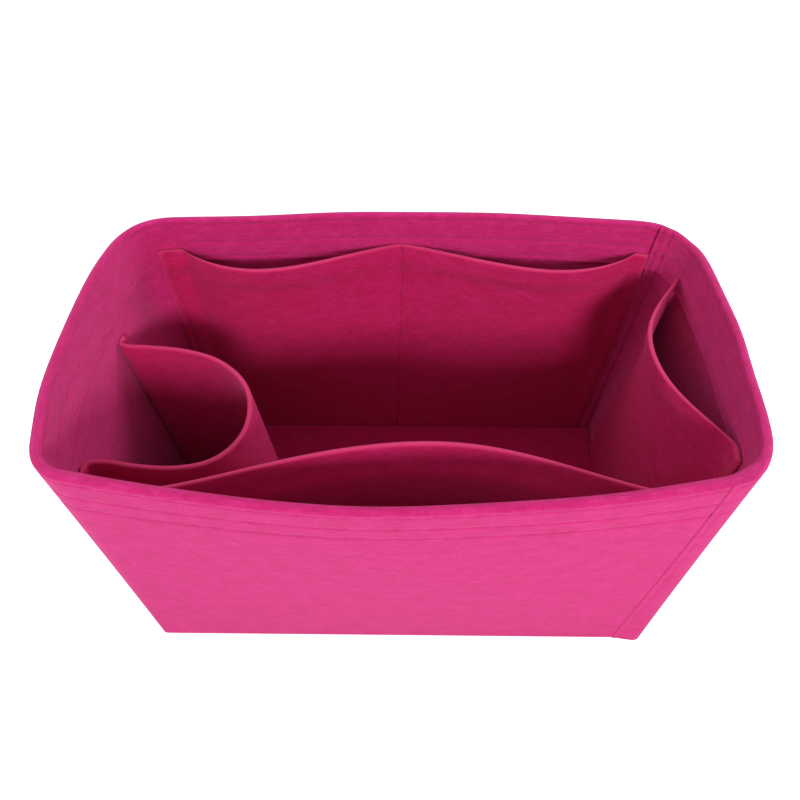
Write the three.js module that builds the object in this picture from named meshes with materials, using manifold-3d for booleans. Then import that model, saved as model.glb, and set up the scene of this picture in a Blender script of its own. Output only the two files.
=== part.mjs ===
// Felt organizer insert for a handbag: an open felt box with pockets, a bottle loop and two zip pockets.
// Millimetres. +X is to the right, +Y to the back, +Z up. The origin is the centre of the base's underside.
import * as THREE from 'three';
import Module from 'manifold-3d';
import { mergeVertices } from 'three/addons/utils/BufferGeometryUtils.js';

// The box: a straight rectangle at the foot, and a larger four-sided rim with its sides bowed outwards
const baseLength = 314;
const baseDepth = 177;
const rimFront = 93.5;
const rimBack = 89.5;
const rimLeft = 164.5;
const rimFrontRight = 163;
const rimBackRight = 173;
const height = 200;
const frontBow = 18.8;
const rightBow = 9.5;
const backBow = 8.5;
const leftBow = 12.5;
// How far from its corner each side leaves its line, in the order front left, front right, back right, back left
const rimCornerReaches = [17, 24, 34, 26];
const baseCornerReach = 4;
const leastCornerReach = 1;
// A corner's rounding shrinks by this share of an inset, so that layers of felt stay parallel round it
const cornerInsetShare = 1.17;

// The felts, and the gap that pieces sewn together keep
const wallFelt = 3;
const lapFelt = 2;
const bandFelt = 2;
const patchFelt = 2;
const seamGap = 0.3;
const lapGap = 0.45;

// The right wall is a strip of its own: it laps over the front wall outside and over the back wall inside
const frontLap = 17;
const backLap = 11;
const frontLapCover = 10;
const backWallEnd = 6;
const lapEase = 12;

// The facing round the inside of the rim
const bandHeight = 31;
const bandButtReach = 26;
const bandButtGap = 0.5;

// The open pockets
const pocketFelt = 3;
const pocketTop = 180;
const bandStepHeight = 10;
const frontPocketBulge = 41.5;
const frontPocketEnd = 19;
const frontBulgePower = 1.7;
const frontBulgeSkew = 1.06;
const frontRisePower = 0.85;
const backPocketBulge = 21;
const backPocketLeftEnd = 12;
const backPocketSeam = 9;
const centreSeam = 5;
const backBulgePower = 1.15;
const backBulgeSkew = 0.73;
const backRisePower = 1.25;
const rightPocketBulge = 31.5;
const rightPocketFrontEnd = 19;
const rightPocketBackEnd = 20;
const rightBulgeCentre = 2.5;
const rightBulgeHalf = 66.5;
const rightBulgePower = 1.2;
const rightRisePower = 1.25;

// The bottle loop on the left wall
const loopFelt = 3;
const loopTop = 157;
const loopReach = 84.5;
const loopHalfWidth = 42;
const loopCentreY = -18;
// The loop's outline from back to front: across it and out from the wall
const loopShares = [
  [1.2, 0],
  [1.06, 0.004],
  [1.01, 0.06],
  [0.98, 0.22],
  [0.9, 0.5],
  [0.75, 0.71],
  [0.5, 0.87],
  [0.21, 0.965],
  [-0.12, 1],
  [-0.45, 0.98],
  [-0.75, 0.89],
  [-0.95, 0.75],
  [-1.04, 0.54],
  [-1.02, 0.33],
  [-0.96, 0.14],
  [-0.98, 0.03],
  [-1.08, 0.002],
  [-1.2, 0],
];

// The zips: moulded teeth on woven tapes, seen through a window in a felt patch
const zipBelowBand = 21;
const tapeStandOff = 0.6;
const tapeThickness = 0.6;
const tapeWidth = 11;
const tapeChannel = 1.2;
const tapeOverrun = 7;
const toothPitch = 3;
const toothRootWidth = 0.9;
const toothTipWidth = 1.4;
const toothReach = 1;
const toothHeight = 1.8;
const beadWidth = 1.9;
const windowHeight = 14;
const windowOverrun = 5;
const patchClearance = 0.6;
const patchTopMargin = 11;
const patchPressWidth = 10;
const backZipLength = 192;
const backPatchLength = 236;
const backPatchHeight = 122;
const frontZipLength = 150;
const frontPatchLength = 190;
const frontPatchHeight = 92;
const stopLength = 2.4;
const stopHeight = 1.6;
const stopGap = 0.4;

// The slider, its link and its pull tab
const sliderLength = 11;
const sliderMouthWidth = 11.4;
const sliderTailWidth = 10;
const sliderPlate = 1.2;
const sliderClearance = 0.5;
const sliderFlange = 0.9;
const crownWidth = 1.2;
const crownBar = 1.3;
const crownHole = 3.4;
const crownHoleHeight = 2.4;
const crownFoot = 1.2;
const linkWire = 1.1;
const linkClearance = 0.33;
const linkLength = 7;
const tabThickness = 1.1;
const tabLength = 20;
const tabTopWidth = 5.4;
const tabFootWidth = 7.6;
const tabEyeClearance = 0.4;

// Colours and finishes
const feltColour = 0xcf2479;
const innerFeltColour = 0xbd1c5c;
const tapeColour = 0xb31c5f;
const teethColour = 0xc22a6c;
const metalColour = 0xb9bcc0;
const feltRoughness = 0.95;
const tapeRoughness = 0.85;
const teethRoughness = 0.4;
const metalRoughness = 0.28;

// How finely the sheets are divided
const longSideSteps = 14;
const shortSideSteps = 10;
const closestStepShare = 0.05;
const wallRows = 5;
const bandRows = 2;
const pocketColumns = 24;
const pocketRows = 7;
const loopColumns = 34;
const loopRows = 5;
const cornerStepShares = [1, 0.76, 0.52, 0.3, 0.12];
const ringSides = 6;
const ringSteps = 22;
const crownCurveSteps = 4;
const tabCurveSteps = 8;

const wasm = await Module();
wasm.setup();

function feltMaterial() {
  return new THREE.MeshStandardMaterial({ color: feltColour, roughness: feltRoughness, metalness: 0 });
}

function innerFeltMaterial() {
  return new THREE.MeshStandardMaterial({ color: innerFeltColour, roughness: feltRoughness, metalness: 0 });
}

function tapeMaterial() {
  return new THREE.MeshStandardMaterial({ color: tapeColour, roughness: tapeRoughness, metalness: 0 });
}

function teethMaterial() {
  return new THREE.MeshStandardMaterial({ color: teethColour, roughness: teethRoughness, metalness: 0 });
}

function metalMaterial() {
  return new THREE.MeshStandardMaterial({ color: metalColour, roughness: metalRoughness, metalness: 1 });
}

const organizer = new THREE.Group();

function addPiece(name, geometry, material, place) {
  const mesh = new THREE.Mesh(geometry, material);
  mesh.name = name;
  if (place) {
    mesh.applyMatrix4(place);
  }
  organizer.add(mesh);
  return mesh;
}

function blend(from, to, share) {
  return from + (to - from) * share;
}

function smooth(low, high, value) {
  const share = Math.min(1, Math.max(0, (value - low) / (high - low)));
  return share * share * (3 - 2 * share);
}

// The box's outline. A station is a side's number plus a share along it, so 0.5 is the middle of the front,
// 1 the front right corner, 1.5 the middle of the right side, 2.5 of the back and 3.5, or -0.5, of the left.
const sideBows = [frontBow, rightBow, backBow, leftBow];
const sideOutwards = [[0, -1], [1, 0], [0, 1], [-1, 0]];

function sideOf(station) {
  const side = Math.floor(station) % 4;
  return side < 0 ? side + 4 : side;
}

function cornersAt(z, inset) {
  const share = z / height;
  const left = -blend(baseLength / 2, rimLeft, share) + inset;
  const frontRight = blend(baseLength / 2, rimFrontRight, share) - inset;
  const backRight = blend(baseLength / 2, rimBackRight, share) - inset;
  const front = -blend(baseDepth / 2, rimFront, share) + inset;
  const back = blend(baseDepth / 2, rimBack, share) - inset;
  return [[left, front], [frontRight, front], [backRight, back], [left, back]];
}

function sharpPoint(station, z, inset) {
  const side = sideOf(station);
  const share = station - Math.floor(station);
  const corners = cornersAt(z, inset);
  const from = corners[side];
  const to = corners[(side + 1) % 4];
  const bow = sideBows[side] * (z / height) * 4 * share * (1 - share);
  const x = blend(from[0], to[0], share) + sideOutwards[side][0] * bow;
  const y = blend(from[1], to[1], share) + sideOutwards[side][1] * bow;
  return new THREE.Vector2(x, y);
}

// Front and back run along X, and the two ends along Y
function sideEnds(side, z, inset) {
  const corners = cornersAt(z, inset);
  const axis = side % 2;
  return [corners[side][axis], corners[(side + 1) % 4][axis]];
}

function sideLengthAt(side, z) {
  const [from, to] = sideEnds(side, z, 0);
  return Math.abs(to - from);
}

// The station on a side whose measure along that side is given
function stationAt(side, along, z, inset) {
  const [from, to] = sideEnds(side, z, inset);
  return side + (along - from) / (to - from);
}

// A corner is a quadratic curve that leaves each side at the corner's reach
function outlinePoint(station, z, inset) {
  const corner = Math.round(station);
  const rimReach = rimCornerReaches[sideOf(corner)];
  const wanted = blend(baseCornerReach, rimReach, z / height) - cornerInsetShare * inset;
  const reach = Math.max(leastCornerReach, wanted);
  const before = reach / sideLengthAt(sideOf(corner - 1), z);
  const after = reach / sideLengthAt(sideOf(corner), z);
  if (station <= corner - before || station >= corner + after) {
    return sharpPoint(station, z, inset);
  }
  const along = station < corner ? (station - corner) / before : (station - corner) / after;
  const share = (along + 1) / 2;
  const start = sharpPoint(corner - before, z, inset);
  const middle = sharpPoint(corner, z, inset);
  const end = sharpPoint(corner + after, z, inset);
  const curve = new THREE.QuadraticBezierCurve(start, middle, end);
  return curve.getPoint(share);
}

function shellPoint(station, z, inset) {
  const point = outlinePoint(station, z, inset);
  return new THREE.Vector3(point.x, point.y, z);
}

// The stations of a strip of felt: even steps along each side, closer ones round each corner and those that are
// asked for, where another piece begins
function stationsBetween(first, last, asked = []) {
  const stations = [...asked];
  for (let corner = Math.floor(first); corner <= Math.ceil(last); corner += 1) {
    const reach = rimCornerReaches[sideOf(corner)];
    const before = reach / sideLengthAt(sideOf(corner - 1), height);
    const after = reach / sideLengthAt(sideOf(corner), height);
    stations.push(corner);
    for (const share of cornerStepShares) {
      stations.push(corner - share * before);
      stations.push(corner + share * after);
    }
  }
  for (let side = Math.floor(first); side <= Math.floor(last); side += 1) {
    const steps = sideOf(side) % 2 === 0 ? longSideSteps : shortSideSteps;
    const start = rimCornerReaches[sideOf(side)] / sideLengthAt(sideOf(side), height);
    const end = 1 - rimCornerReaches[sideOf(side + 1)] / sideLengthAt(sideOf(side), height);
    for (let step = 1; step < steps; step += 1) {
      stations.push(side + blend(start, end, step / steps));
    }
  }
  const closest = closestStepShare / longSideSteps;
  const inside = stations.filter((station) => station > first + closest && station < last - closest);
  return [first, ...inside.sort((a, b) => a - b), last];
}

// A sheet with a thickness: a grid of cells between two faces, closed along its edges and round its openings
function sheetSolid(columns, rows, pointAt, isOpen = () => false) {
  const positions = [];
  const faces = [0, 1].map((face) => {
    const grid = [];
    for (let row = 0; row <= rows; row += 1) {
      for (let column = 0; column <= columns; column += 1) {
        grid.push(positions.length / 3);
        positions.push(...pointAt(column, row, face).toArray());
      }
    }
    return (column, row) => grid[row * (columns + 1) + column];
  });
  const triangles = [];
  const addQuad = (a, b, c, d) => triangles.push([a, b, c], [a, c, d]);
  const isSolid = (column, row) => {
    const inGrid = column >= 0 && column < columns && row >= 0 && row < rows;
    return inGrid && !isOpen(column, row);
  };
  const [near, far] = faces;
  const addEdge = (a, b) => addQuad(near(...b), near(...a), far(...a), far(...b));
  for (let row = 0; row < rows; row += 1) {
    for (let column = 0; column < columns; column += 1) {
      if (!isSolid(column, row)) {
        continue;
      }
      const corners = [[column, row], [column + 1, row], [column + 1, row + 1], [column, row + 1]];
      addQuad(...corners.map((corner) => near(...corner)));
      addQuad(...corners.slice().reverse().map((corner) => far(...corner)));
      const neighbours = [[column, row - 1], [column + 1, row], [column, row + 1], [column - 1, row]];
      neighbours.forEach((neighbour, side) => {
        if (!isSolid(...neighbour)) {
          addEdge(corners[side], corners[(side + 1) % 4]);
        }
      });
    }
  }
  const geometry = new THREE.BufferGeometry();
  geometry.setAttribute('position', new THREE.Float32BufferAttribute(positions, 3));
  const inwards = signedVolume(positions, triangles) < 0;
  geometry.setIndex(triangles.flatMap(([a, b, c]) => (inwards ? [a, c, b] : [a, b, c])));
  return withUsedVerticesOnly(geometry);
}

function signedVolume(positions, triangles) {
  const vertex = (index) => new THREE.Vector3().fromArray(positions, 3 * index);
  let total = 0;
  for (const [a, b, c] of triangles) {
    total += vertex(a).dot(vertex(b).cross(vertex(c)));
  }
  return total / 6;
}

function withUsedVerticesOnly(geometry) {
  const merged = mergeVertices(geometry.toNonIndexed());
  merged.computeVertexNormals();
  return merged;
}

// Joins and cuts of closed solids
function solidOf(geometry) {
  const bare = geometry.clone();
  bare.deleteAttribute('normal');
  bare.deleteAttribute('uv');
  const merged = mergeVertices(bare);
  const mesh = new wasm.Mesh({
    numProp: 3,
    vertProperties: new Float32Array(merged.attributes.position.array),
    triVerts: new Uint32Array(merged.index.array),
  });
  return new wasm.Manifold(mesh);
}

function geometryOf(solid) {
  const mesh = solid.getMesh();
  const geometry = new THREE.BufferGeometry();
  geometry.setAttribute('position', new THREE.Float32BufferAttribute(mesh.vertProperties, 3));
  geometry.setIndex(Array.from(mesh.triVerts));
  geometry.computeVertexNormals();
  return geometry;
}

// How far in from the outline each layer of the walls lies
const wallInner = wallFelt;
const bandOuter = wallInner + seamGap;
const bandInner = bandOuter + bandFelt;
const bandFoot = height - bandHeight;
const backLapStation = 2 + backLap / baseLength;
const frontLapStation = 1 - frontLap / baseLength;
const frontWallEnd = frontLapStation + frontLapCover / baseLength;
const bandButt = 1 - bandButtReach / baseLength;

// The right wall's outer face starts outside the front wall and ends inside the back wall
function rightWallOuter(station) {
  const outside = -(seamGap + lapFelt);
  const inside = wallInner + lapGap;
  const ease = lapEase / baseDepth;
  return blend(outside, inside, smooth(1 + ease, 2 - ease, station));
}

function rightWallFelt(station) {
  const ease = lapEase / baseDepth;
  const past = smooth(1, 1 + ease, station);
  const before = 1 - smooth(2 - ease, 2, station);
  return blend(lapFelt, wallFelt, past * before);
}

function rightWallInner(station) {
  return rightWallOuter(station) + rightWallFelt(station);
}

function wallStrip(first, last, low, high, outerInset, innerInset, rows, asked) {
  const stations = stationsBetween(first, last, asked);
  return sheetSolid(stations.length - 1, rows, (column, row, face) => {
    const station = stations[column];
    const z = blend(low, high, row / rows);
    return shellPoint(station, z, face === 0 ? outerInset(station) : innerInset(station));
  });
}

// One strip of felt makes the back, left and front walls
function wallWrap() {
  const first = -2 + backWallEnd / baseLength;
  return wallStrip(first, frontWallEnd, 0, height, () => 0, () => wallInner, wallRows, [backLapStation - 4]);
}

function rightWall() {
  return wallStrip(frontLapStation, backLapStation, 0, height, rightWallOuter, rightWallInner, wallRows);
}

// The rim's facing: one length on the wrapped wall and one on the right wall
function mainRimBand() {
  const first = -4 + backLapStation + bandButtGap / baseLength;
  return wallStrip(first, bandButt, bandFoot, height, () => bandOuter, () => bandInner, bandRows);
}

// Past the front wall's end, the right wall's facing moves out to lie on the right wall
function rightRimBand() {
  const first = bandButt + bandButtGap / baseLength;
  const clearOfWall = frontWallEnd + seamGap / baseLength;
  const outer = (station) => {
    const onRightWall = smooth(clearOfWall, 1 + lapEase / baseDepth, station);
    return blend(wallInner, rightWallInner(station), onRightWall) + seamGap;
  };
  const inner = (station) => outer(station) + bandFelt;
  return wallStrip(first, backLapStation, bandFoot, height, outer, inner, bandRows);
}

// The base fills the foot of the box, just inside the walls, and is notched round the lap at the back
function basePanel() {
  const inset = wallInner + seamGap;
  const left = -baseLength / 2 + inset;
  const front = -baseDepth / 2 + inset;
  const back = baseDepth / 2 - inset;
  const lapEdge = sharpPoint(backLapStation, 0, rightWallInner(backLapStation)).x - seamGap;
  const lapInner = baseDepth / 2 - rightWallInner(2) - seamGap;
  const ease = lapEase / baseDepth;
  const rightAt = (station) => sharpPoint(station, 0, rightWallInner(station)).x - seamGap;
  const outline = new THREE.Shape();
  outline.moveTo(left, front);
  outline.lineTo(rightAt(1 + ease), front);
  for (const station of stationsBetween(1 + ease, 2 - ease)) {
    outline.lineTo(rightAt(station), sharpPoint(station, 0, rightWallInner(station)).y);
  }
  outline.lineTo(rightAt(2 - ease), lapInner);
  outline.lineTo(lapEdge, lapInner);
  outline.lineTo(lapEdge, back);
  outline.lineTo(left, back);
  outline.closePath();
  return new THREE.ExtrudeGeometry(outline, { depth: wallFelt, bevelEnabled: false });
}

// An open pocket is a sheet of felt sewn to the wall at its foot and ends, whose mouth bulges inwards
const pocketFoot = wallFelt + seamGap;

// The sheet clears the wall low down and the rim's facing near its mouth
function pocketStandOff(z, overWall) {
  const step = bandFelt + seamGap;
  return overWall + seamGap + step * smooth(bandFoot - bandStepHeight, bandFoot - seamGap, z);
}

function pocketHeight(row) {
  const lowRows = pocketRows - 2;
  if (row <= lowRows) {
    return blend(pocketFoot, bandFoot - bandStepHeight, row / lowRows);
  }
  return row === pocketRows ? pocketTop : bandFoot - seamGap;
}

function evenly(share) {
  return share;
}

function closerAtEnds(share) {
  return (1 - Math.cos(Math.PI * share)) / 2;
}

function pocketPanel(first, last, spacing, insetAt, risePower, bulgeAt) {
  return sheetSolid(pocketColumns, pocketRows, (column, row, face) => {
    const station = blend(first, last, spacing(column / pocketColumns));
    const z = pocketHeight(row);
    const risen = ((z - pocketFoot) / (pocketTop - pocketFoot)) ** risePower;
    const inset = pocketStandOff(z, insetAt(station)) + (face === 0 ? 0 : pocketFelt);
    const point = shellPoint(station, z, inset);
    const outwards = sideOutwards[sideOf(station)];
    const bulge = bulgeAt(station, z) * risen;
    point.x -= outwards[0] * bulge;
    point.y -= outwards[1] * bulge;
    return point;
  });
}

function frontPocketPanel() {
  const first = frontPocketEnd / baseLength;
  const last = 1 - first;
  const bulgeAt = (station) => {
    const share = Math.min(1, Math.max(0, (station - first) / (last - first)));
    const across = 2 * share ** frontBulgeSkew - 1;
    return frontPocketBulge * (1 - across * across) ** frontBulgePower;
  };
  return pocketPanel(first, last, closerAtEnds, () => wallInner, frontRisePower, bulgeAt);
}

// The back pocket is sewn down its middle, and each half's mouth is widest towards its outer end
function backPocketPanel() {
  const first = backLapStation + bandButtGap / baseLength;
  const last = 3 - backPocketLeftEnd / baseLength;
  const centre = 2.5;
  const bulgeAt = (station) => {
    const end = station < centre ? first : last;
    const start = end + (Math.sign(centre - end) * backPocketSeam) / baseLength;
    const middle = centre + (Math.sign(end - centre) * centreSeam) / 2 / baseLength;
    const share = Math.min(1, Math.max(0, (station - start) / (middle - start)));
    return backPocketBulge * Math.sin(Math.PI * share ** backBulgeSkew) ** backBulgePower;
  };
  return pocketPanel(first, last, evenly, () => wallInner, backRisePower, bulgeAt);
}

function rightPocketPanel() {
  const first = 1 + rightPocketFrontEnd / baseDepth;
  const last = 2 - rightPocketBackEnd / baseDepth;
  const bulgeAt = (station, z) => {
    const across = (sharpPoint(station, z, 0).y - rightBulgeCentre) / rightBulgeHalf;
    return rightPocketBulge * Math.max(0, 1 - across * across) ** rightBulgePower;
  };
  return pocketPanel(first, last, evenly, rightWallInner, rightRisePower, bulgeAt);
}

// The bottle loop is a strip that leaves the left wall, turns round the bottle and comes back to the wall
function bottleLoop() {
  const points = loopShares.map(([across, out]) => {
    return new THREE.Vector3(out * loopReach, loopCentreY + across * loopHalfWidth, 0);
  });
  const curve = new THREE.CatmullRomCurve3(points, false, 'centripetal');
  return sheetSolid(loopColumns, loopRows, (column, row, face) => {
    const share = column / loopColumns;
    const z = blend(pocketFoot, loopTop, row / loopRows);
    const middle = curve.getPointAt(share);
    const along = curve.getTangentAt(share);
    const side = (face === 0 ? -0.5 : 0.5) * loopFelt;
    const y = middle.y + along.x * side;
    const station = stationAt(3, y, z, wallInner);
    const wall = outlinePoint(station, z, wallInner).x;
    const x = wall + seamGap + loopFelt / 2 + middle.x - along.y * side;
    return new THREE.Vector3(x, y, z);
  });
}

// A zip lies along an arc on a bowed wall. Its own measures are: along the arc, up the wall and out from it.
const zipHeight = bandFoot - zipBelowBand;
const toothFoot = tapeStandOff + tapeThickness + seamGap;
const toothTop = toothFoot + toothHeight;
const beadInner = toothReach + seamGap;
const beadOuter = beadInner + beadWidth;

function arcRadius(side) {
  return (sideLengthAt(side, zipHeight) / 2) ** 2 / (2 * sideBows[side] * (zipHeight / height));
}

function backZipSeat() {
  const surface = sharpPoint(2.5, zipHeight, 0).y;
  return {
    name: 'back_zip',
    surface,
    lean: Math.atan((rimBack + backBow - baseDepth / 2) / height),
    centre: surface - arcRadius(2),
    length: backZipLength,
    patchLength: backPatchLength,
    patchHeight: backPatchHeight,
    side: 2,
    faceInset: (out) => -out,
  };
}

function frontZipSeat() {
  const outer = sharpPoint(0.5, zipHeight, 0).y;
  return {
    name: 'front_zip',
    surface: outer + wallFelt,
    lean: Math.atan(-(rimFront + frontBow - baseDepth / 2) / height),
    centre: outer + arcRadius(0),
    length: frontZipLength,
    patchLength: frontPatchLength,
    patchHeight: frontPatchHeight,
    side: 0,
    faceInset: (out) => wallInner + out,
  };
}

function zipPoint(seat, along, up, out) {
  const y = seat.surface + up * Math.sin(seat.lean) + out * Math.cos(seat.lean);
  const z = zipHeight + up * Math.cos(seat.lean) - out * Math.sin(seat.lean);
  const radius = y - seat.centre;
  const turn = along / Math.abs(seat.surface - seat.centre);
  return new THREE.Vector3(Math.abs(radius) * Math.sin(turn), seat.centre + radius * Math.cos(turn), z);
}

// A frame at a place on the zip: X runs along it, Y points out of the wall and Z goes up, plumb if asked
function zipFrame(seat, along, out, plumb) {
  const turn = along / Math.abs(seat.surface - seat.centre);
  const facing = Math.sign(seat.surface - seat.centre);
  const tangent = new THREE.Vector3(Math.cos(turn), -facing * Math.sin(turn), 0);
  const level = new THREE.Vector3(facing * Math.sin(turn), Math.cos(turn), 0);
  const vertical = new THREE.Vector3(0, 0, 1);
  const lean = plumb ? 0 : seat.lean;
  const outwards = level.clone().multiplyScalar(Math.cos(lean)).addScaledVector(vertical, -Math.sin(lean));
  const upwards = level.clone().multiplyScalar(Math.sin(lean)).addScaledVector(vertical, Math.cos(lean));
  const frame = new THREE.Matrix4().makeBasis(tangent, outwards, upwards);
  return frame.setPosition(zipPoint(seat, along, 0, out));
}

function zipTape(seat, side) {
  const columns = longSideSteps;
  const half = seat.length / 2 + tapeOverrun;
  return sheetSolid(columns, 1, (column, row, face) => {
    const along = blend(-half, half, column / columns);
    const up = side * (tapeChannel / 2 + row * tapeWidth);
    return zipPoint(seat, along, up, tapeStandOff + face * tapeThickness);
  });
}

// A row of teeth: a bead along the tape's edge, and dovetail teeth that reach between those of the other row
function toothRow(seat, side) {
  const count = Math.floor(seat.length / toothPitch) - 1;
  const firstTooth = -(count - 1) * toothPitch / 2 + (side * toothPitch) / 4;
  const columns = 2 * count + 1;
  return sheetSolid(
    columns,
    2,
    (column, row, face) => {
      const out = face === 0 ? toothFoot : toothTop;
      if (column === 0 || column === columns) {
        const end = (column === 0 ? -1 : 1) * (seat.length / 2);
        return zipPoint(seat, end, side * [beadInner, beadInner, beadOuter][row], out);
      }
      const tooth = Math.floor((column - 1) / 2);
      const flank = (column - 1) % 2 === 0 ? -0.5 : 0.5;
      const width = row === 0 ? toothTipWidth : toothRootWidth;
      const up = [-toothReach, beadInner, beadOuter][row];
      return zipPoint(seat, firstTooth + tooth * toothPitch + flank * width, side * up, out);
    },
    (column, row) => row === 0 && column % 2 === 0,
  );
}

// The stops at the chain's ends: one on each tape where it closes, and one across both where it opens
function zipStop(seat, along, from, to) {
  return sheetSolid(1, 1, (column, row, face) => {
    const place = along + (column - 0.5) * stopLength;
    return zipPoint(seat, place, blend(from, to, row), face === 0 ? toothFoot : toothFoot + stopHeight);
  });
}

// The pocket behind the zip: a felt patch on the wall, with a window that shows the teeth
function zipPatch(seat) {
  const raised = tapeStandOff + tapeThickness + patchClearance;
  const windowHalf = seat.length / 2 + windowOverrun;
  const half = seat.patchLength / 2;
  const alongs = [-half, -half + patchPressWidth / 2, -half + patchPressWidth, -windowHalf];
  for (let step = 1; step < longSideSteps; step += 1) {
    alongs.push(blend(-windowHalf, windowHalf, step / longSideSteps));
  }
  alongs.push(windowHalf, half - patchPressWidth, half - patchPressWidth / 2, half);
  const top = bandFoot - patchTopMargin;
  const foot = top - seat.patchHeight;
  const windowTop = zipHeight + windowHeight / 2;
  const windowFoot = zipHeight - windowHeight / 2;
  const tapeFoot = zipHeight - tapeChannel / 2 - tapeWidth;
  const pressed = tapeFoot - patchPressWidth;
  const heights = [foot, (foot + pressed) / 2, pressed, tapeFoot, windowFoot, windowTop, top];
  const windowRow = heights.indexOf(windowFoot);
  const windowColumn = alongs.indexOf(-windowHalf);
  return sheetSolid(
    alongs.length - 1,
    heights.length - 1,
    (column, row, face) => {
      const along = alongs[column];
      const z = heights[row];
      const nearEnd = smooth(half, half - patchPressWidth, Math.abs(along));
      const overTape = smooth(pressed, tapeFoot, z);
      const out = blend(seamGap, raised, nearEnd * overTape) + face * patchFelt;
      const inset = seat.faceInset(out);
      return shellPoint(stationAt(seat.side, along, z, inset), z, inset);
    },
    (column, row) => row === windowRow && column >= windowColumn && column < windowColumn + longSideSteps,
  );
}

// The slider straddles the teeth. Its crown is an arch that the link of the pull hangs from.
const sliderFoot = toothTop + sliderClearance;
const sliderTop = sliderFoot + sliderPlate;
const crownBarCentre = sliderTop + crownHoleHeight + crownBar / 2;

function extrudedAlongOut(outline, from, to) {
  const geometry = new THREE.ExtrudeGeometry(outline, { depth: to - from, bevelEnabled: false });
  geometry.rotateX(Math.PI / 2);
  geometry.translate(0, to, 0);
  return geometry;
}

function sliderOutline(margin) {
  const half = sliderLength / 2;
  const mouth = sliderMouthWidth / 2 - margin;
  const tail = sliderTailWidth / 2 - margin;
  const outline = new THREE.Shape();
  const bevel = sliderFlange;
  outline.moveTo(-half, -tail + bevel);
  outline.lineTo(-half + bevel, -tail);
  outline.lineTo(half - 2 * bevel, -mouth);
  outline.lineTo(half, -mouth + 2 * bevel);
  outline.lineTo(half, mouth - 2 * bevel);
  outline.lineTo(half - 2 * bevel, mouth);
  outline.lineTo(-half + bevel, tail);
  outline.lineTo(-half, tail - bevel);
  outline.closePath();
  return outline;
}

function channelOutline() {
  const reach = sliderLength;
  const half = beadOuter + sliderClearance;
  const outline = new THREE.Shape();
  outline.moveTo(-reach, -half);
  outline.lineTo(reach, -half);
  outline.lineTo(reach, half);
  outline.lineTo(-reach, half);
  outline.closePath();
  return outline;
}

function crownGeometry() {
  const outline = new THREE.Shape();
  const half = crownHole / 2 + crownFoot;
  const foot = sliderTop - sliderPlate / 2;
  const top = crownBarCentre + crownBar / 2;
  outline.moveTo(-half, foot);
  outline.lineTo(half, foot);
  outline.lineTo(half, top - crownBar);
  outline.quadraticCurveTo(half, top, half - crownBar, top);
  outline.lineTo(-half + crownBar, top);
  outline.quadraticCurveTo(-half, top, -half, top - crownBar);
  outline.closePath();
  const hole = new THREE.Path();
  const holeHalf = crownHole / 2;
  const holeTop = crownBarCentre - crownBar / 2;
  hole.moveTo(-holeHalf, sliderTop);
  hole.lineTo(holeHalf, sliderTop);
  hole.lineTo(holeHalf, holeTop);
  hole.lineTo(-holeHalf, holeTop);
  hole.closePath();
  outline.holes.push(hole);
  const geometry = new THREE.ExtrudeGeometry(outline, {
    depth: crownWidth,
    bevelEnabled: false,
    curveSegments: crownCurveSteps,
  });
  geometry.translate(0, 0, -crownWidth / 2);
  return geometry;
}

function sliderGeometry() {
  const flangeFoot = tapeStandOff + tapeThickness + seamGap;
  const shell = solidOf(extrudedAlongOut(sliderOutline(0), flangeFoot, sliderTop));
  const channel = solidOf(extrudedAlongOut(channelOutline(), flangeFoot - sliderPlate, sliderFoot));
  const crown = solidOf(crownGeometry());
  return geometryOf(shell.subtract(channel).add(crown));
}

// The link is an oval of wire round the crown's bar, in the plane across the zip
const crownBarRadius = Math.hypot(crownBar, crownWidth) / 2;
const linkRadius = crownBarRadius + linkClearance + linkWire / 2;

class LinkPath extends THREE.Curve {
  getPoint(share, target = new THREE.Vector3()) {
    const bend = Math.PI * linkRadius;
    const run = 2 * (bend + linkLength);
    const travelled = ((share % 1) + 1) % 1 * run;
    if (travelled < bend) {
      const turn = travelled / linkRadius;
      return target.set(0, linkRadius * Math.cos(turn), linkRadius * Math.sin(turn));
    }
    if (travelled < bend + linkLength) {
      return target.set(0, -linkRadius, bend - travelled);
    }
    if (travelled < 2 * bend + linkLength) {
      const turn = (travelled - bend - linkLength) / linkRadius;
      return target.set(0, -linkRadius * Math.cos(turn), -linkLength - linkRadius * Math.sin(turn));
    }
    return target.set(0, linkRadius, travelled - run);
  }
}

function linkGeometry() {
  return new THREE.TubeGeometry(new LinkPath(), ringSteps, linkWire / 2, ringSides, true);
}

// The tab hangs flat against the wall from the link's lower bend
function tabGeometry() {
  const eye = linkWire / 2 + tabEyeClearance;
  const crest = tabTopWidth / 2;
  const foot = -tabLength + crest;
  const outline = new THREE.Shape();
  outline.moveTo(-tabFootWidth / 2, foot);
  outline.absarc(0, foot, tabFootWidth / 2, Math.PI, 2 * Math.PI, false);
  outline.lineTo(crest, 0);
  outline.absarc(0, 0, crest, 0, Math.PI, false);
  outline.closePath();
  const hole = new THREE.Path();
  hole.absarc(0, 0, eye, 0, 2 * Math.PI, true);
  outline.holes.push(hole);
  const geometry = new THREE.ExtrudeGeometry(outline, {
    depth: tabThickness,
    bevelEnabled: false,
    curveSegments: tabCurveSteps,
  });
  geometry.translate(0, 0, -tabThickness / 2);
  geometry.rotateX(Math.PI / 2);
  return geometry;
}

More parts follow.
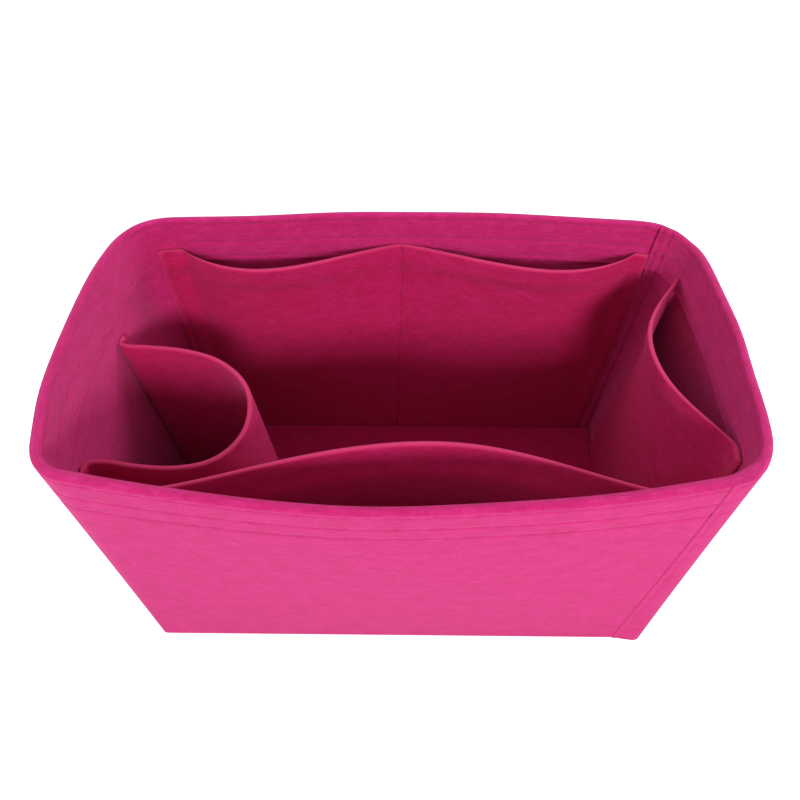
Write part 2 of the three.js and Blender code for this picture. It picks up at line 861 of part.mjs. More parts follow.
function addZip(seat) {
  const stopPlace = seat.length / 2 + stopGap + stopLength / 2;
  const name = (piece) => `${seat.name}_${piece}`;
  addPiece(name('patch'), zipPatch(seat), innerFeltMaterial());
  addPiece(name('tape_upper'), zipTape(seat, 1), tapeMaterial());
  addPiece(name('tape_lower'), zipTape(seat, -1), tapeMaterial());
  addPiece(name('teeth_upper'), toothRow(seat, 1), teethMaterial());
  addPiece(name('teeth_lower'), toothRow(seat, -1), teethMaterial());
  addPiece(name('top_stop_upper'), zipStop(seat, stopPlace, tapeChannel / 2, beadOuter), metalMaterial());
  addPiece(name('top_stop_lower'), zipStop(seat, stopPlace, -tapeChannel / 2, -beadOuter), metalMaterial());
  addPiece(name('bottom_stop'), zipStop(seat, -stopPlace, -beadOuter, beadOuter), metalMaterial());
  const rest = seat.length / 2 - sliderLength / 2 - stopGap;
  addPiece(name('slider'), sliderGeometry(), metalMaterial(), zipFrame(seat, rest, 0, false));
  const hang = zipFrame(seat, rest, crownBarCentre, true);
  addPiece(name('pull_link'), linkGeometry(), metalMaterial(), hang);
  const eyePlace = new THREE.Matrix4().makeTranslation(0, 0, -linkLength - linkRadius);
  addPiece(name('pull_tab'), tabGeometry(), metalMaterial(), hang.clone().multiply(eyePlace));
}

addPiece('base_panel', basePanel(), innerFeltMaterial());
addPiece('wall_wrap', wallWrap(), feltMaterial());
addPiece('right_wall', rightWall(), feltMaterial());
addPiece('rim_band_main', mainRimBand(), feltMaterial());
addPiece('rim_band_right', rightRimBand(), feltMaterial());
addPiece('front_pocket_panel', frontPocketPanel(), innerFeltMaterial());
addPiece('back_pocket_panel', backPocketPanel(), innerFeltMaterial());
addPiece('right_pocket_panel', rightPocketPanel(), innerFeltMaterial());
addPiece('bottle_loop', bottleLoop(), innerFeltMaterial());
addZip(backZipSeat());
addZip(frontZipSeat());

export default organizer;
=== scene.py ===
# %% [markdown]
# # A felt organizer insert for a handbag
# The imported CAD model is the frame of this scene: it says where every piece is and what moves.
# Each felt sheet of the CAD model is replaced by a finer one with soft cut edges, seams and stitches.
# All lengths are in metres. +X is to the right, +Y to the back and +Z up.

# %% Load the frame
import math

import bpy
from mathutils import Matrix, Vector


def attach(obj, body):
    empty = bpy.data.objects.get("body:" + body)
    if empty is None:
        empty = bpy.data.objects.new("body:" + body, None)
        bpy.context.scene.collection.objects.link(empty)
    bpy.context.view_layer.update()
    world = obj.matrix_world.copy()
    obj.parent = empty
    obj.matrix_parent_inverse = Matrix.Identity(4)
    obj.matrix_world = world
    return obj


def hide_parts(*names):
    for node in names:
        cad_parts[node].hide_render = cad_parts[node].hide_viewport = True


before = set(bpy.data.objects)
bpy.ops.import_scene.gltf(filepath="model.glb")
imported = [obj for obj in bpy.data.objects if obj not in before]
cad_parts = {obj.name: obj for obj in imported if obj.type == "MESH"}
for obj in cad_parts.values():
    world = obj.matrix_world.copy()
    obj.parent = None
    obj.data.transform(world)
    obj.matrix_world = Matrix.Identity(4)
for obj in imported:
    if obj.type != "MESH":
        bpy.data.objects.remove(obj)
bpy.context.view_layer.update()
MM = 0.001

# %% [markdown]
# ## The camera
# The photograph was taken from in front and well above, with a short lens.
# The lens and the place were solved from the corners of the base and the rim.
# An object shows only once it is linked into the scene's collection, which add_object does for every piece.

# %% Camera
LENS_MM = 31.61
SENSOR_MM = 36
CAMERA_PLACE = (0.00216, -0.26087, 0.45882)
CAMERA_DROP = math.radians(50.9)
CAMERA_TURN = 0.01


def add_object(name, data):
    thing = bpy.data.objects.new(name, data)
    bpy.context.scene.collection.objects.link(thing)
    return thing


camera_data = bpy.data.cameras.new("camera")
camera_data.lens = LENS_MM
camera_data.sensor_width = SENSOR_MM
camera = add_object("camera", camera_data)
camera.location = CAMERA_PLACE
camera.rotation_euler = (math.pi / 2 - CAMERA_DROP, 0, CAMERA_TURN)
bpy.context.scene.camera = camera
print("camera at", tuple(camera.location))

# %% [markdown]
# ## The outline
# Every wall follows one outline: a straight rectangle at the foot, and a larger four-sided one with bowed
# sides at the rim. A station is a side's number plus a share along it: 0.5 is the middle of the front, 1 the
# front right corner, 2.5 the middle of the back and 3.5, or -0.5, the middle of the left side.

# %% The outline's sizes
BASE_LENGTH = 314 * MM
BASE_DEPTH = 177 * MM
RIM_LEFT = -164.5 * MM
RIM_FRONT_RIGHT = 163 * MM
RIM_BACK_RIGHT = 173 * MM
RIM_FRONT = -93.5 * MM
RIM_BACK = 89.5 * MM
HEIGHT = 200 * MM
SIDE_BOWS = (18.8 * MM, 9.5 * MM, 8.5 * MM, 12.5 * MM)
SIDE_OUTWARDS = ((0, -1), (1, 0), (0, 1), (-1, 0))
FRONT, BACK, LEFT = 0, 2, 3
SIDES = 4
RIM_CORNER_REACHES = (17 * MM, 24 * MM, 34 * MM, 26 * MM)
BASE_CORNER_REACH = 4 * MM
LEAST_CORNER_REACH = 1 * MM
CORNER_INSET_SHARE = 1.17


def blend(low, high, share):
    return low + (high - low) * share


def smooth(low, high, value):
    share = min(1, max(0, (value - low) / (high - low)))
    return share * share * (3 - 2 * share)


def side_of(station):
    return math.floor(station) % SIDES


def corners_at(z, inset):
    """The four corners at a height, from the front left one on."""
    share = z / HEIGHT
    left = blend(-BASE_LENGTH / 2, RIM_LEFT, share) + inset
    front_right = blend(BASE_LENGTH / 2, RIM_FRONT_RIGHT, share) - inset
    back_right = blend(BASE_LENGTH / 2, RIM_BACK_RIGHT, share) - inset
    front = blend(-BASE_DEPTH / 2, RIM_FRONT, share) + inset
    back = blend(BASE_DEPTH / 2, RIM_BACK, share) - inset
    return ((left, front), (front_right, front), (back_right, back), (left, back))


def side_ends(side, z, inset):
    corners = corners_at(z, inset)
    return corners[side][side % 2], corners[(side + 1) % SIDES][side % 2]


def side_length_at(side, z):
    start, end = side_ends(side, z, 0)
    return abs(end - start)


def station_at(side, along, z, inset):
    """The station on a side of a place measured along X, or along Y on the left and right."""
    start, end = side_ends(side, z, inset)
    return side + (along - start) / (end - start)


def sharp_point(station, z, inset):
    """A point of the outline as it would be with sharp corners."""
    side = side_of(station)
    share = station - math.floor(station)
    corners = corners_at(z, inset)
    start, end = corners[side], corners[(side + 1) % SIDES]
    bow = SIDE_BOWS[side] * (z / HEIGHT) * 4 * share * (1 - share)
    out = SIDE_OUTWARDS[side]
    return (blend(start[0], end[0], share) + out[0] * bow, blend(start[1], end[1], share) + out[1] * bow)


def reach_shares(corner, reach, z):
    """How far a corner reaches into the sides before and after it, as shares of them."""
    return tuple(reach / side_length_at(side_of(side), z) for side in (corner - 1, corner))


def outline_point(station, z, inset):
    """A point of the outline with its corners rounded."""
    corner = round(station)
    rim_reach = RIM_CORNER_REACHES[side_of(corner)]
    wanted = blend(BASE_CORNER_REACH, rim_reach, z / HEIGHT) - CORNER_INSET_SHARE * inset
    reach = max(LEAST_CORNER_REACH, wanted)
    before, after = reach_shares(corner, reach, z)
    if station <= corner - before or station >= corner + after:
        return sharp_point(station, z, inset)
    along = (station - corner) / (before if station < corner else after)
    share = (along + 1) / 2
    a, b, c = (sharp_point(s, z, inset) for s in (corner - before, corner, corner + after))
    weights = ((1 - share) ** 2, 2 * share * (1 - share), share ** 2)
    return tuple(sum(w * p[k] for w, p in zip(weights, (a, b, c))) for k in (0, 1))


print("rim corner at", [round(v, 4) for v in outline_point(1, HEIGHT, 0)])

# %% [markdown]
# Hand-sewn felt is never quite true. A slow wave, the same for all layers, takes the stiffness out of the
# walls, and the rim rises and falls by less than a millimetre.

# %% The slow wave of the felt
WAVE = 0.7 * MM
WAVE_RISE = 1.5
WAVE_TERMS = ((1, 1.5, 0.6, 0), (0.6, 2.75, 2.1, 9))
RIM_WAVE = 0.6 * MM
RIM_WAVE_RISE = 6
RIM_WAVE_TERMS = ((1, 1.25, 1.3, 0), (0.5, 3.5, 0, 0))


def slow_wave(size, power, terms, station, z):
    """Each term has its share, its waves round the box, its phase and how fast that changes with height."""
    rise = (z / HEIGHT) ** power
    turns = 2 * math.pi * station
    slow = sum(share * math.sin(waves * turns + phase + climb * z) for share, waves, phase, climb in terms)
    return size * rise * slow / sum(term[0] for term in terms)


def wave(station, z):
    return slow_wave(WAVE, WAVE_RISE, WAVE_TERMS, station, z)


def rim_wave(station, z):
    return slow_wave(RIM_WAVE, RIM_WAVE_RISE, RIM_WAVE_TERMS, station, z)


def shell_point(station, z, inset):
    x, y = outline_point(station, z, inset + wave(station, z))
    return (x, y, z + rim_wave(station, z))


# %% [markdown]
# ## How a felt sheet is made
# A sheet of felt is a grid of cells between two faces. The columns and rows lie close together at its cut
# edges, where the two faces come together in a small round, and at its seams, where thread presses it in.
# Solidify and Bevel could do this too, but a grid lets each seam press its own groove.

# %% The felt sheet
FELT = 3 * MM
EDGE_ROUND_SHARE = 0.36
EDGE_STEPS = (0, 0.1, 0.35, 1)
ROLL_STEPS = (0.04, 0.15, 0.32, 0.55, 0.8, 1)
GROOVE_DEPTH = 0.55 * MM
GROOVE_WIDTH = 0.9 * MM
DEEP_GROOVE_DEPTH = 1.6 * MM
DEEP_GROOVE_WIDTH = 1.1 * MM
MEAN_PULL = 0.72
PULL_TERMS = ((0.2, 1.5 * MM, 0), (0.14, 3.1 * MM, 1))
CUT_FADE = 1.5
GROOVE_STEPS = (-2.2, -1.1, -0.5, 0, 0.5, 1.1, 2.2)
LEAST_STEP = 0.2 * MM
SHARP_ANGLE = math.radians(50)


def thinned(places):
    """Where places lie too close together, the first stays unless a later one has a higher rank."""
    kept = []
    for place, rank in places:
        if kept and place - kept[-1][0] < LEAST_STEP:
            if rank > kept[-1][1]:
                kept[-1] = (place, rank)
            continue
        kept.append((place, rank))
    return [place for place, rank in kept]


def spread(first, last, step, closer_at=(), thickness=FELT, roll=0):
    """Places from first to last, about a step apart, with closer ones at both ends and at each seam."""
    count = max(2, round(abs(last - first) / step))
    places = [(blend(first, last, i / count), 1) for i in range(1, count)]
    places += [(first, 3), (last, 3)]
    radius = EDGE_ROUND_SHARE * thickness
    for share in EDGE_STEPS[1:]:
        places += [(first + share * radius, 2), (last - share * radius, 2)]
    places += [(last - share * roll, 2) for share in ROLL_STEPS if roll]
    for seam in closer_at:
        places += [(seam + k * GROOVE_WIDTH, 2) for k in GROOVE_STEPS]
    return thinned(sorted(p for p in places if first <= p[0] <= last))


def groove(distance, along=0.0, deep=False):
    """How far thread presses the felt in beside a seam. The pull of the thread varies along it."""
    pull = sum((change * math.sin(along / length + phase) for change, length, phase in PULL_TERMS), MEAN_PULL)
    depth, width = (DEEP_GROOVE_DEPTH, DEEP_GROOVE_WIDTH) if deep else (GROOVE_DEPTH, GROOVE_WIDTH)
    return pull * depth * math.exp(-((distance / width) ** 2))


def seam_press(seams, deep=False, sides=(1,)):
    """The press of upright seams at these places along a sheet, on the faces named by sides."""
    return lambda u, v, side: sum(groove(u - seam, v, deep) for seam in seams) if side in sides else 0


def edge_share(distance, thickness):
    """How much of its half thickness a sheet has at this distance from its cut edge."""
    radius = EDGE_ROUND_SHARE * thickness
    if distance >= radius:
        return 1
    half = thickness / 2
    return (half - radius + math.sqrt(radius ** 2 - (radius - distance) ** 2)) / half


def roll_drop(distance, radius):
    """How far a rolled top edge has fallen back from its face at this distance below its top."""
    if distance >= radius:
        return 0
    return radius - math.sqrt(radius ** 2 - (radius - distance) ** 2)


def shade_smooth(mesh):
    mesh.polygons.foreach_set("use_smooth", [True] * len(mesh.polygons))


def make_mesh(name, points, faces, uvs=None, cuts=None):
    mesh = bpy.data.meshes.new(name)
    mesh.from_pydata(points, [], faces)
    mesh.update()
    if uvs:
        layer = mesh.uv_layers.new(name="felt")
        for loop in mesh.loops:
            layer.data[loop.index].uv = uvs[loop.vertex_index]
    if cuts:
        mesh.attributes.new("cut", "FLOAT", "POINT").data.foreach_set("value", cuts)
    shade_smooth(mesh)
    mesh.set_sharp_from_angle(angle=SHARP_ANGLE)
    return add_object(name, mesh)


def signed_volume(points, faces):
    total = 0
    for face in faces:
        a, b, c, d = (Vector(points[i]) for i in face)
        total += a.dot(b.cross(c)) + a.dot(c.cross(d))
    return total / 6


def felt_sheet(name, us, vs, point_at, felt_at, press_at=None, is_open=None, roll=None, butts=()):
    """A sheet over a grid of places along it (us) and up it (vs). point_at(u, v, depth) is a point of it,
    with depth from -1 on the first face to 1 on the second. felt_at(u) is its thickness. roll is the face
    that the top edge is rolled back on, and the radius along it. butts names the edges that stay square."""
    points, uvs, cuts = [], [], []
    columns, rows = len(us) - 1, len(vs) - 1
    holes = {(c, r) for c in range(columns) for r in range(rows) if is_open and is_open(c, r)}
    if holes:
        hole_us = us[min(c for c, r in holes)], us[max(c for c, r in holes) + 1]
        hole_vs = vs[min(r for c, r in holes)], vs[max(r for c, r in holes) + 1]

    def solid(column, row):
        return 0 <= column < columns and 0 <= row < rows and (column, row) not in holes

    def index(side, column, row):
        return (side * (rows + 1) + row) * (columns + 1) + column

    def from_edge(u, v):
        gaps = {"start": u - us[0], "end": us[-1] - u, "foot": v - vs[0], "top": vs[-1] - v}
        nearest = min(gap for edge, gap in gaps.items() if edge not in butts and not (roll and edge == "top"))
        if holes:
            beside = max(hole_us[0] - u, u - hole_us[1], 0)
            above = max(hole_vs[0] - v, v - hole_vs[1], 0)
            nearest = min(nearest, math.hypot(beside, above))
        return nearest

    for side in (-1, 1):
        for v in vs:
            for u in us:
                thickness = felt_at(u)
                press = press_at(u, v, side) if press_at else 0
                if roll and side == roll[0]:
                    press += roll_drop(vs[-1] - v, roll[1](u))
                distance = from_edge(u, v)
                depth = side * (edge_share(distance, thickness) - 2 * press / thickness)
                points.append(point_at(u, v, depth))
                uvs.append((u + side * thickness / 2, v + side * thickness / 2))
                # The cut mask is 1 on a cut edge; the felt's material paints the edge paler there, partly as
                # a painted highlight.
                cuts.append(max(0, 1 - distance / (EDGE_ROUND_SHARE * thickness)) ** CUT_FADE)
    faces = []
    for row in range(rows):
        for column in range(columns):
            if not solid(column, row):
                continue
            ring = ((column, row), (column + 1, row), (column + 1, row + 1), (column, row + 1))
            faces.append([index(0, *at) for at in ring])
            faces.append([index(1, *at) for at in reversed(ring)])
            beyond = ((column, row - 1), (column + 1, row), (column, row + 1), (column - 1, row))
            for k, other in enumerate(beyond):
                if not solid(*other):
                    a, b = ring[k], ring[(k + 1) % 4]
                    faces.append([index(0, *b), index(0, *a), index(1, *a), index(1, *b)])
    if signed_volume(points, faces) < 0:
        faces = [list(reversed(face)) for face in faces]
    used = sorted({i for face in faces for i in face})
    number = {old: new for new, old in enumerate(used)}
    faces = [[number[i] for i in face] for face in faces]
    return make_mesh(name, [points[i] for i in used], faces, [uvs[i] for i in used], [cuts[i] for i in used])


# %% [markdown]
# A strip that follows the outline is laid out by its own length, so a table turns lengths into stations.
# Columns are added at the box's corners, where the felt turns sharply near the foot.

# %% Stations by length
CORNER_SHARES = (1, 0.8, 0.6, 0.4, 0.24, 0.12, 0.05, 0)
TABLE_STEPS = 3000
COLUMN_STEP = 3.2 * MM
ROW_STEP = 3.6 * MM


def lengths_along(points):
    """The length from the first point to each one."""
    lengths = [0]
    for a, b in zip(points, points[1:]):
        lengths.append(lengths[-1] + math.dist(a, b))
    return lengths


def look_up(value, keys, values):
    low, high = 0, len(keys) - 1
    while high - low > 1:
        middle = (low + high) // 2
        low, high = (middle, high) if keys[middle] <= value else (low, middle)
    share = (value - keys[low]) / (keys[high] - keys[low])
    return blend(values[low], values[high], min(1, max(0, share)))


class Strip:
    """A length of felt that follows the outline from one station to another."""

    def __init__(self, first, last):
        self.first, self.last = first, last
        self.stations = [blend(first, last, i / TABLE_STEPS) for i in range(TABLE_STEPS + 1)]
        self.lengths = lengths_along([outline_point(s, HEIGHT / 2, 0) for s in self.stations])
        self.length = self.lengths[-1]

    def station(self, u):
        return look_up(u, self.lengths, self.stations)

    def place(self, station):
        return look_up(station, self.stations, self.lengths)

    def corner_places(self):
        found = []
        for corner in range(math.floor(self.first), math.ceil(self.last) + 1):
            before, after = reach_shares(corner, RIM_CORNER_REACHES[side_of(corner)], HEIGHT)
            for share in CORNER_SHARES:
                found += [corner - share * before, corner + share * after]
        return [self.place(s) for s in found if self.first < s < self.last]

    def columns(self, closer_at=(), thickness=FELT):
        even = spread(0, self.length, COLUMN_STEP, closer_at, thickness=thickness)
        ends = (even[0], even[-1])
        return thinned([(u, u in ends) for u in sorted(set(even) | set(self.corner_places()))])


def piece_facts(piece):
    triangles = sum(len(p.vertices) - 2 for p in piece.data.polygons)
    print(f"{piece.name}: {triangles} triangles")
    return piece


# %% [markdown]
# ## The walls
# One strip makes the back, left and front walls, and another makes the right wall. The right strip laps over
# the front wall on the outside and over the back wall on the inside. The rim has three rows of stitches,
# which press the felt in on both faces.

# %% Walls
WALL_FELT = FELT
LAP_FELT = 2 * MM
BAND_FELT = 2 * MM
SEAM_GAP = 0.3 * MM
TOUCH_GAP = 0.05 * MM
FRONT_LAP = 17 * MM
BACK_LAP = 11 * MM
FRONT_LAP_COVER = 10 * MM
BACK_WALL_END = 6 * MM
LAP_EASE = 12 * MM
BAND_HEIGHT = 31 * MM
BAND_BUTT_REACH = 26 * MM
BAND_BUTT_GAP = 0.1 * MM
RIM_ROWS = (3.8 * MM, 16.5 * MM, 27.5 * MM)
LAP_ROWS_FRONT = (3.2 * MM,)
LAP_ROWS_BACK = (2.6 * MM, 7.4 * MM)
ROW_SHIFT = 9
WALL_ROLL = 2.6 * MM
LAP_ROLL = 1.8 * MM
BAND_ROLL = 1.8 * MM
LAP_PRESSED_WIDTH = 15 * MM
LAP_PRESSED_SHARE = 0.22
WALL_END_PRESSED_WIDTH = 9 * MM
WALL_END_PRESS = 2.45 * MM

FRONT_LAP_STATION = 1 - FRONT_LAP / BASE_LENGTH
FRONT_WALL_END = FRONT_LAP_STATION + FRONT_LAP_COVER / BASE_LENGTH
BACK_LAP_STATION = 2 + BACK_LAP / BASE_LENGTH
BAND_OUTER = WALL_FELT + TOUCH_GAP
BAND_FOOT = HEIGHT - BAND_HEIGHT
LAP_EASE_SHARE = LAP_EASE / BASE_DEPTH
BAND_GAP_SHARE = BAND_BUTT_GAP / BASE_LENGTH
rim_row_heights = [HEIGHT - row for row in RIM_ROWS]


def right_felt(station):
    past = smooth(1, 1 + LAP_EASE_SHARE, station)
    before = 1 - smooth(2 - LAP_EASE_SHARE, 2, station)
    pressed = smooth(FRONT_LAP_STATION, FRONT_LAP_STATION + LAP_PRESSED_WIDTH / BASE_LENGTH, station)
    return blend(LAP_FELT, WALL_FELT, past * before) * blend(LAP_PRESSED_SHARE, 1, pressed)


def right_outer(station):
    ease = smooth(1 + LAP_EASE_SHARE, 2 - LAP_EASE_SHARE, station)
    before_ease = -TOUCH_GAP - (right_felt(station) if station < 1 else LAP_FELT)
    return blend(before_ease, WALL_FELT + TOUCH_GAP, ease)


def right_inner(station):
    return right_outer(station) + right_felt(station)


def wrap_outer(station):
    """The strip's first end is pressed thin where it is sewn over the right wall's lap."""
    to_end = (station - wrap_strip.first) * BASE_LENGTH
    return WALL_END_PRESS * (1 - smooth(0, WALL_END_PRESSED_WIDTH, to_end))


def wrap_roll(u):
    station = wrap_strip.station(u)
    return WALL_ROLL * (1 - wrap_outer(station) / WALL_FELT) if station < FRONT_LAP_STATION else 0


def right_roll(u):
    """The rolled top fades out before the back wall's end covers it."""
    station = right_strip.station(u)
    shown = 1 - smooth(2 - LAP_EASE_SHARE, wrap_strip.first + SIDES, station)
    return shown * LAP_ROLL * right_felt(station) / LAP_FELT


def rim_press(pressed_side):
    """The press of the rim's rows on one face. Each row's thread pulls in its own rhythm."""
    def press_at(u, v, side):
        if side != pressed_side:
            return 0
        return sum(groove(v - row, u + ROW_SHIFT * row) for row in rim_row_heights)
    return press_at


press_outside, press_inside = rim_press(-1), rim_press(1)


def strip_sheet(name, strip, heights, outer, felt, press_at, roll, columns=None, butts=()):
    def point_at(u, v, depth):
        station = strip.station(u)
        half = felt(station) / 2
        return shell_point(station, v, outer(station) + half + depth * half)

    us = columns or strip.columns()
    return piece_facts(felt_sheet(name, us, heights, point_at, lambda u: felt(strip.station(u)), press_at,
                                  roll=roll, butts=butts))


wrap_strip = Strip(-2 + BACK_WALL_END / BASE_LENGTH, FRONT_WALL_END)
wall_heights = spread(0, HEIGHT, ROW_STEP, rim_row_heights, roll=WALL_ROLL)
wrap_columns = wrap_strip.columns(closer_at=(wrap_strip.place(FRONT_LAP_STATION),))
wall_wrap = strip_sheet("wall_wrap_felt", wrap_strip, wall_heights, wrap_outer,
                        lambda s: WALL_FELT - wrap_outer(s), press_outside, (-1, wrap_roll), wrap_columns,
                        ("foot", "end"))

right_strip = Strip(FRONT_LAP_STATION, BACK_LAP_STATION)
lap_rows = list(LAP_ROWS_FRONT) + [right_strip.length - row for row in LAP_ROWS_BACK]


def right_press(u, v, side):
    front = sum(groove(u - row, v) for row in LAP_ROWS_FRONT)
    back = sum(groove(right_strip.length - u - row, v, True) for row in LAP_ROWS_BACK) if side == 1 else 0
    above_base = smooth(0, WALL_FELT, v)
    return max(front + above_base * back, press_outside(u, v, side))


right_columns = right_strip.columns(closer_at=[*lap_rows, right_strip.place(wrap_strip.first + SIDES)])
right_wall = strip_sheet("right_wall_felt", right_strip, wall_heights, right_outer, right_felt, right_press,
                         (-1, right_roll), right_columns, ("foot",))

# %% [markdown]
# ## The rim's facing
# A strip 31 mm high lines the rim, and its lower edge stands proud as a small ledge. It is made in two
# lengths that butt together near the front right corner and at the lap.

# %% The facing
WALL_END_STEP = 0.4 * MM
band_heights = spread(BAND_FOOT, HEIGHT, ROW_STEP, rim_row_heights, thickness=BAND_FELT, roll=BAND_ROLL)
main_band_strip = Strip(BACK_LAP_STATION - SIDES + BAND_GAP_SHARE, 1 - BAND_BUTT_REACH / BASE_LENGTH)
right_band_strip = Strip(main_band_strip.last + BAND_GAP_SHARE, BACK_LAP_STATION)
right_band_rows = [right_band_strip.length - row for row in LAP_ROWS_BACK]


def right_band_outer(station):
    """Past the front wall's end the facing fills the corner out to the right wall."""
    past_wall = smooth(FRONT_WALL_END, FRONT_WALL_END + WALL_END_STEP / BASE_LENGTH, station)
    return blend(WALL_FELT, right_inner(station), past_wall) + TOUCH_GAP


def right_band_inner(station):
    past_wall = smooth(FRONT_WALL_END, 1 + LAP_EASE_SHARE, station)
    return blend(WALL_FELT, right_inner(station), past_wall) + TOUCH_GAP + BAND_FELT


def right_band_press(u, v, side):
    back = sum(groove(u - row, v, True) for row in right_band_rows)
    return max(back, press_inside(u, v, side)) if side == 1 else 0


def band_roll(u):
    return BAND_ROLL


main_band = strip_sheet("rim_band_main_felt", main_band_strip, band_heights, lambda s: BAND_OUTER,
                        lambda s: BAND_FELT, press_inside, (1, band_roll), butts=("end",))
wall_end_places = [right_band_strip.place(FRONT_WALL_END + share * WALL_END_STEP / BASE_LENGTH)
                   for share in (0, 1)]
right_band_columns = right_band_strip.columns(right_band_rows + wall_end_places, BAND_FELT)
right_band = strip_sheet("rim_band_right_felt", right_band_strip, band_heights, right_band_outer,
                         lambda s: right_band_inner(s) - right_band_outer(s), right_band_press,
                         (1, band_roll), right_band_columns, ("start",))

# %% [markdown]
# ## The base
# The bottom is a flat panel of the same felt between the feet of the walls. It is notched round the inner
# lap, and past the front wall's end it reaches out to the right wall.

# %% Base
NOTCH_COVER = 1.2 * MM
BASE_STEP = 4 * MM
base_inset = WALL_FELT + TOUCH_GAP
base_left = -BASE_LENGTH / 2 + base_inset
base_front = -BASE_DEPTH / 2 + base_inset
base_back = BASE_DEPTH / 2 - base_inset
lap_edge = sharp_point(BACK_LAP_STATION, 0, right_inner(BACK_LAP_STATION))[0] + NOTCH_COVER
lap_inner = BASE_DEPTH / 2 - right_inner(2) - TOUCH_GAP
wall_edge = sharp_point(FRONT_WALL_END, 0, WALL_FELT)[0] + TOUCH_GAP


def base_right(y):
    station = 1 + min(1, max(0, (y + BASE_DEPTH / 2) / BASE_DEPTH))
    return sharp_point(station, 0, right_inner(station))[0] - TOUCH_GAP


def base_column(x, v):
    """The panel narrows towards the back, so its columns lean. This is the column that passes x at row v."""
    return (x - base_left) / (base_right(base_front + v) - base_left) * base_width


def base_point(u, v, depth):
    x = base_left + u / base_width * (base_right(base_front + v) - base_left)
    front = base_front if u < wall_column else -BASE_DEPTH / 2
    back = base_back if u < lap_column else lap_inner
    y = front + v / base_depth * (back - front)
    return (x, y, WALL_FELT / 2 + depth * WALL_FELT / 2)


base_depth = base_back - base_front
base_width = base_right(0) - base_left
wall_column = base_column(wall_edge, 0)
lap_column = base_column(lap_edge, base_depth)
beside_steps = [column + way * LEAST_STEP for column in (wall_column, lap_column) for way in (-1, 1)]
base_us = sorted(spread(0, base_width, BASE_STEP) + beside_steps)
base_vs = spread(0, base_depth, BASE_STEP)
base = piece_facts(felt_sheet("base_felt", base_us, base_vs, base_point, lambda u: WALL_FELT))

# %% [markdown]
# ## The open pockets
# An open pocket is a sheet sewn to the wall at its foot and ends. Its mouth stands away from the wall by its
# bulge, which grows from nothing at the foot. The back one is also sewn down the middle.

# %% Pocket panels
POCKET_FELT = FELT
POCKET_FOOT = WALL_FELT + SEAM_GAP
POCKET_TOP = 180 * MM
POCKET_TALL = POCKET_TOP - POCKET_FOOT
BAND_STEP_HEIGHT = 10 * MM
FRONT_POCKET = {"bulge": 42.3 * MM, "end": 19 * MM, "power": 1.52, "skew": 1.1, "rise": 0.85}
BACK_POCKET = {"bulge": 21 * MM, "left_end": 5 * MM, "outer_seam": 9 * MM, "left_seam": 16 * MM,
               "centre_seam": 5 * MM, "power": 1.15, "skew": 0.73, "rise": 1.25}
RIGHT_POCKET = {"bulge": 31.5 * MM, "front_end": 19 * MM, "back_end": 20 * MM, "centre": 2.5 * MM,
                "half": 66.5 * MM, "power": 1.2, "rise": 1.25}
POCKET_ROW_STEP = 3.4 * MM
BACK_LEFT_ROWS = (4.2 * MM,)
RIGHT_POCKET_ROW = 3 * MM
CENTRE_STATION = 2.513


def pocket_stand_off(z, over_wall):
    step = BAND_FELT + TOUCH_GAP
    return over_wall + SEAM_GAP + step * smooth(BAND_FOOT - BAND_STEP_HEIGHT, BAND_FOOT - SEAM_GAP, z)


def pocket_panel(name, strip, wall_inset, rise, bulge_at, seams=(), deep=False):
    def point_at(u, v, depth):
        station = strip.station(u)
        half = POCKET_FELT / 2
        inset = pocket_stand_off(POCKET_FOOT + v, wall_inset(station)) + half + depth * half
        x, y, z = shell_point(station, POCKET_FOOT + v, inset)
        out = SIDE_OUTWARDS[side_of(station)]
        bulge = bulge_at(station, POCKET_FOOT + v) * (v / POCKET_TALL) ** rise
        return (x - out[0] * bulge, y - out[1] * bulge, z)

    us = strip.columns(closer_at=seams)
    vs = spread(0, POCKET_TALL, POCKET_ROW_STEP)
    piece = felt_sheet(name, us, vs, point_at, lambda u: POCKET_FELT, seam_press(seams, deep))
    return piece_facts(piece), point_at


front_first = FRONT_POCKET["end"] / BASE_LENGTH
front_pocket_strip = Strip(front_first, 1 - front_first)


def front_bulge(station, z):
    share = min(1, max(0, (station - front_first) / (1 - 2 * front_first)))
    across = 2 * share ** FRONT_POCKET["skew"] - 1
    return FRONT_POCKET["bulge"] * (1 - across * across) ** FRONT_POCKET["power"]


front_pocket, front_pocket_point = pocket_panel(
    "front_pocket_felt", front_pocket_strip, lambda s: WALL_FELT, FRONT_POCKET["rise"], front_bulge)

back_pocket_strip = Strip(BACK_LAP_STATION + BAND_GAP_SHARE, 3 - BACK_POCKET["left_end"] / BASE_LENGTH)
back_seams = [back_pocket_strip.place(CENTRE_STATION)]
back_seams += [back_pocket_strip.length - row for row in BACK_LEFT_ROWS]


def back_bulge(station, z):
    """Each half of the back pocket stands open most towards its outer end."""
    end = back_pocket_strip.first if station < CENTRE_STATION else back_pocket_strip.last
    way = 1 if station < CENTRE_STATION else -1
    sewn = BACK_POCKET["outer_seam" if station < CENTRE_STATION else "left_seam"]
    start = end + way * sewn / BASE_LENGTH
    middle = CENTRE_STATION - way * BACK_POCKET["centre_seam"] / 2 / BASE_LENGTH
    share = min(1, max(0, (station - start) / (middle - start)))
    return BACK_POCKET["bulge"] * math.sin(math.pi * share ** BACK_POCKET["skew"]) ** BACK_POCKET["power"]


back_pocket, back_pocket_point = pocket_panel(
    "back_pocket_felt", back_pocket_strip, lambda s: WALL_FELT, BACK_POCKET["rise"], back_bulge, back_seams,
    deep=True)

right_pocket_strip = Strip(1 + RIGHT_POCKET["front_end"] / BASE_DEPTH,
                           2 - RIGHT_POCKET["back_end"] / BASE_DEPTH)
right_seams = [RIGHT_POCKET_ROW, right_pocket_strip.length - RIGHT_POCKET_ROW]


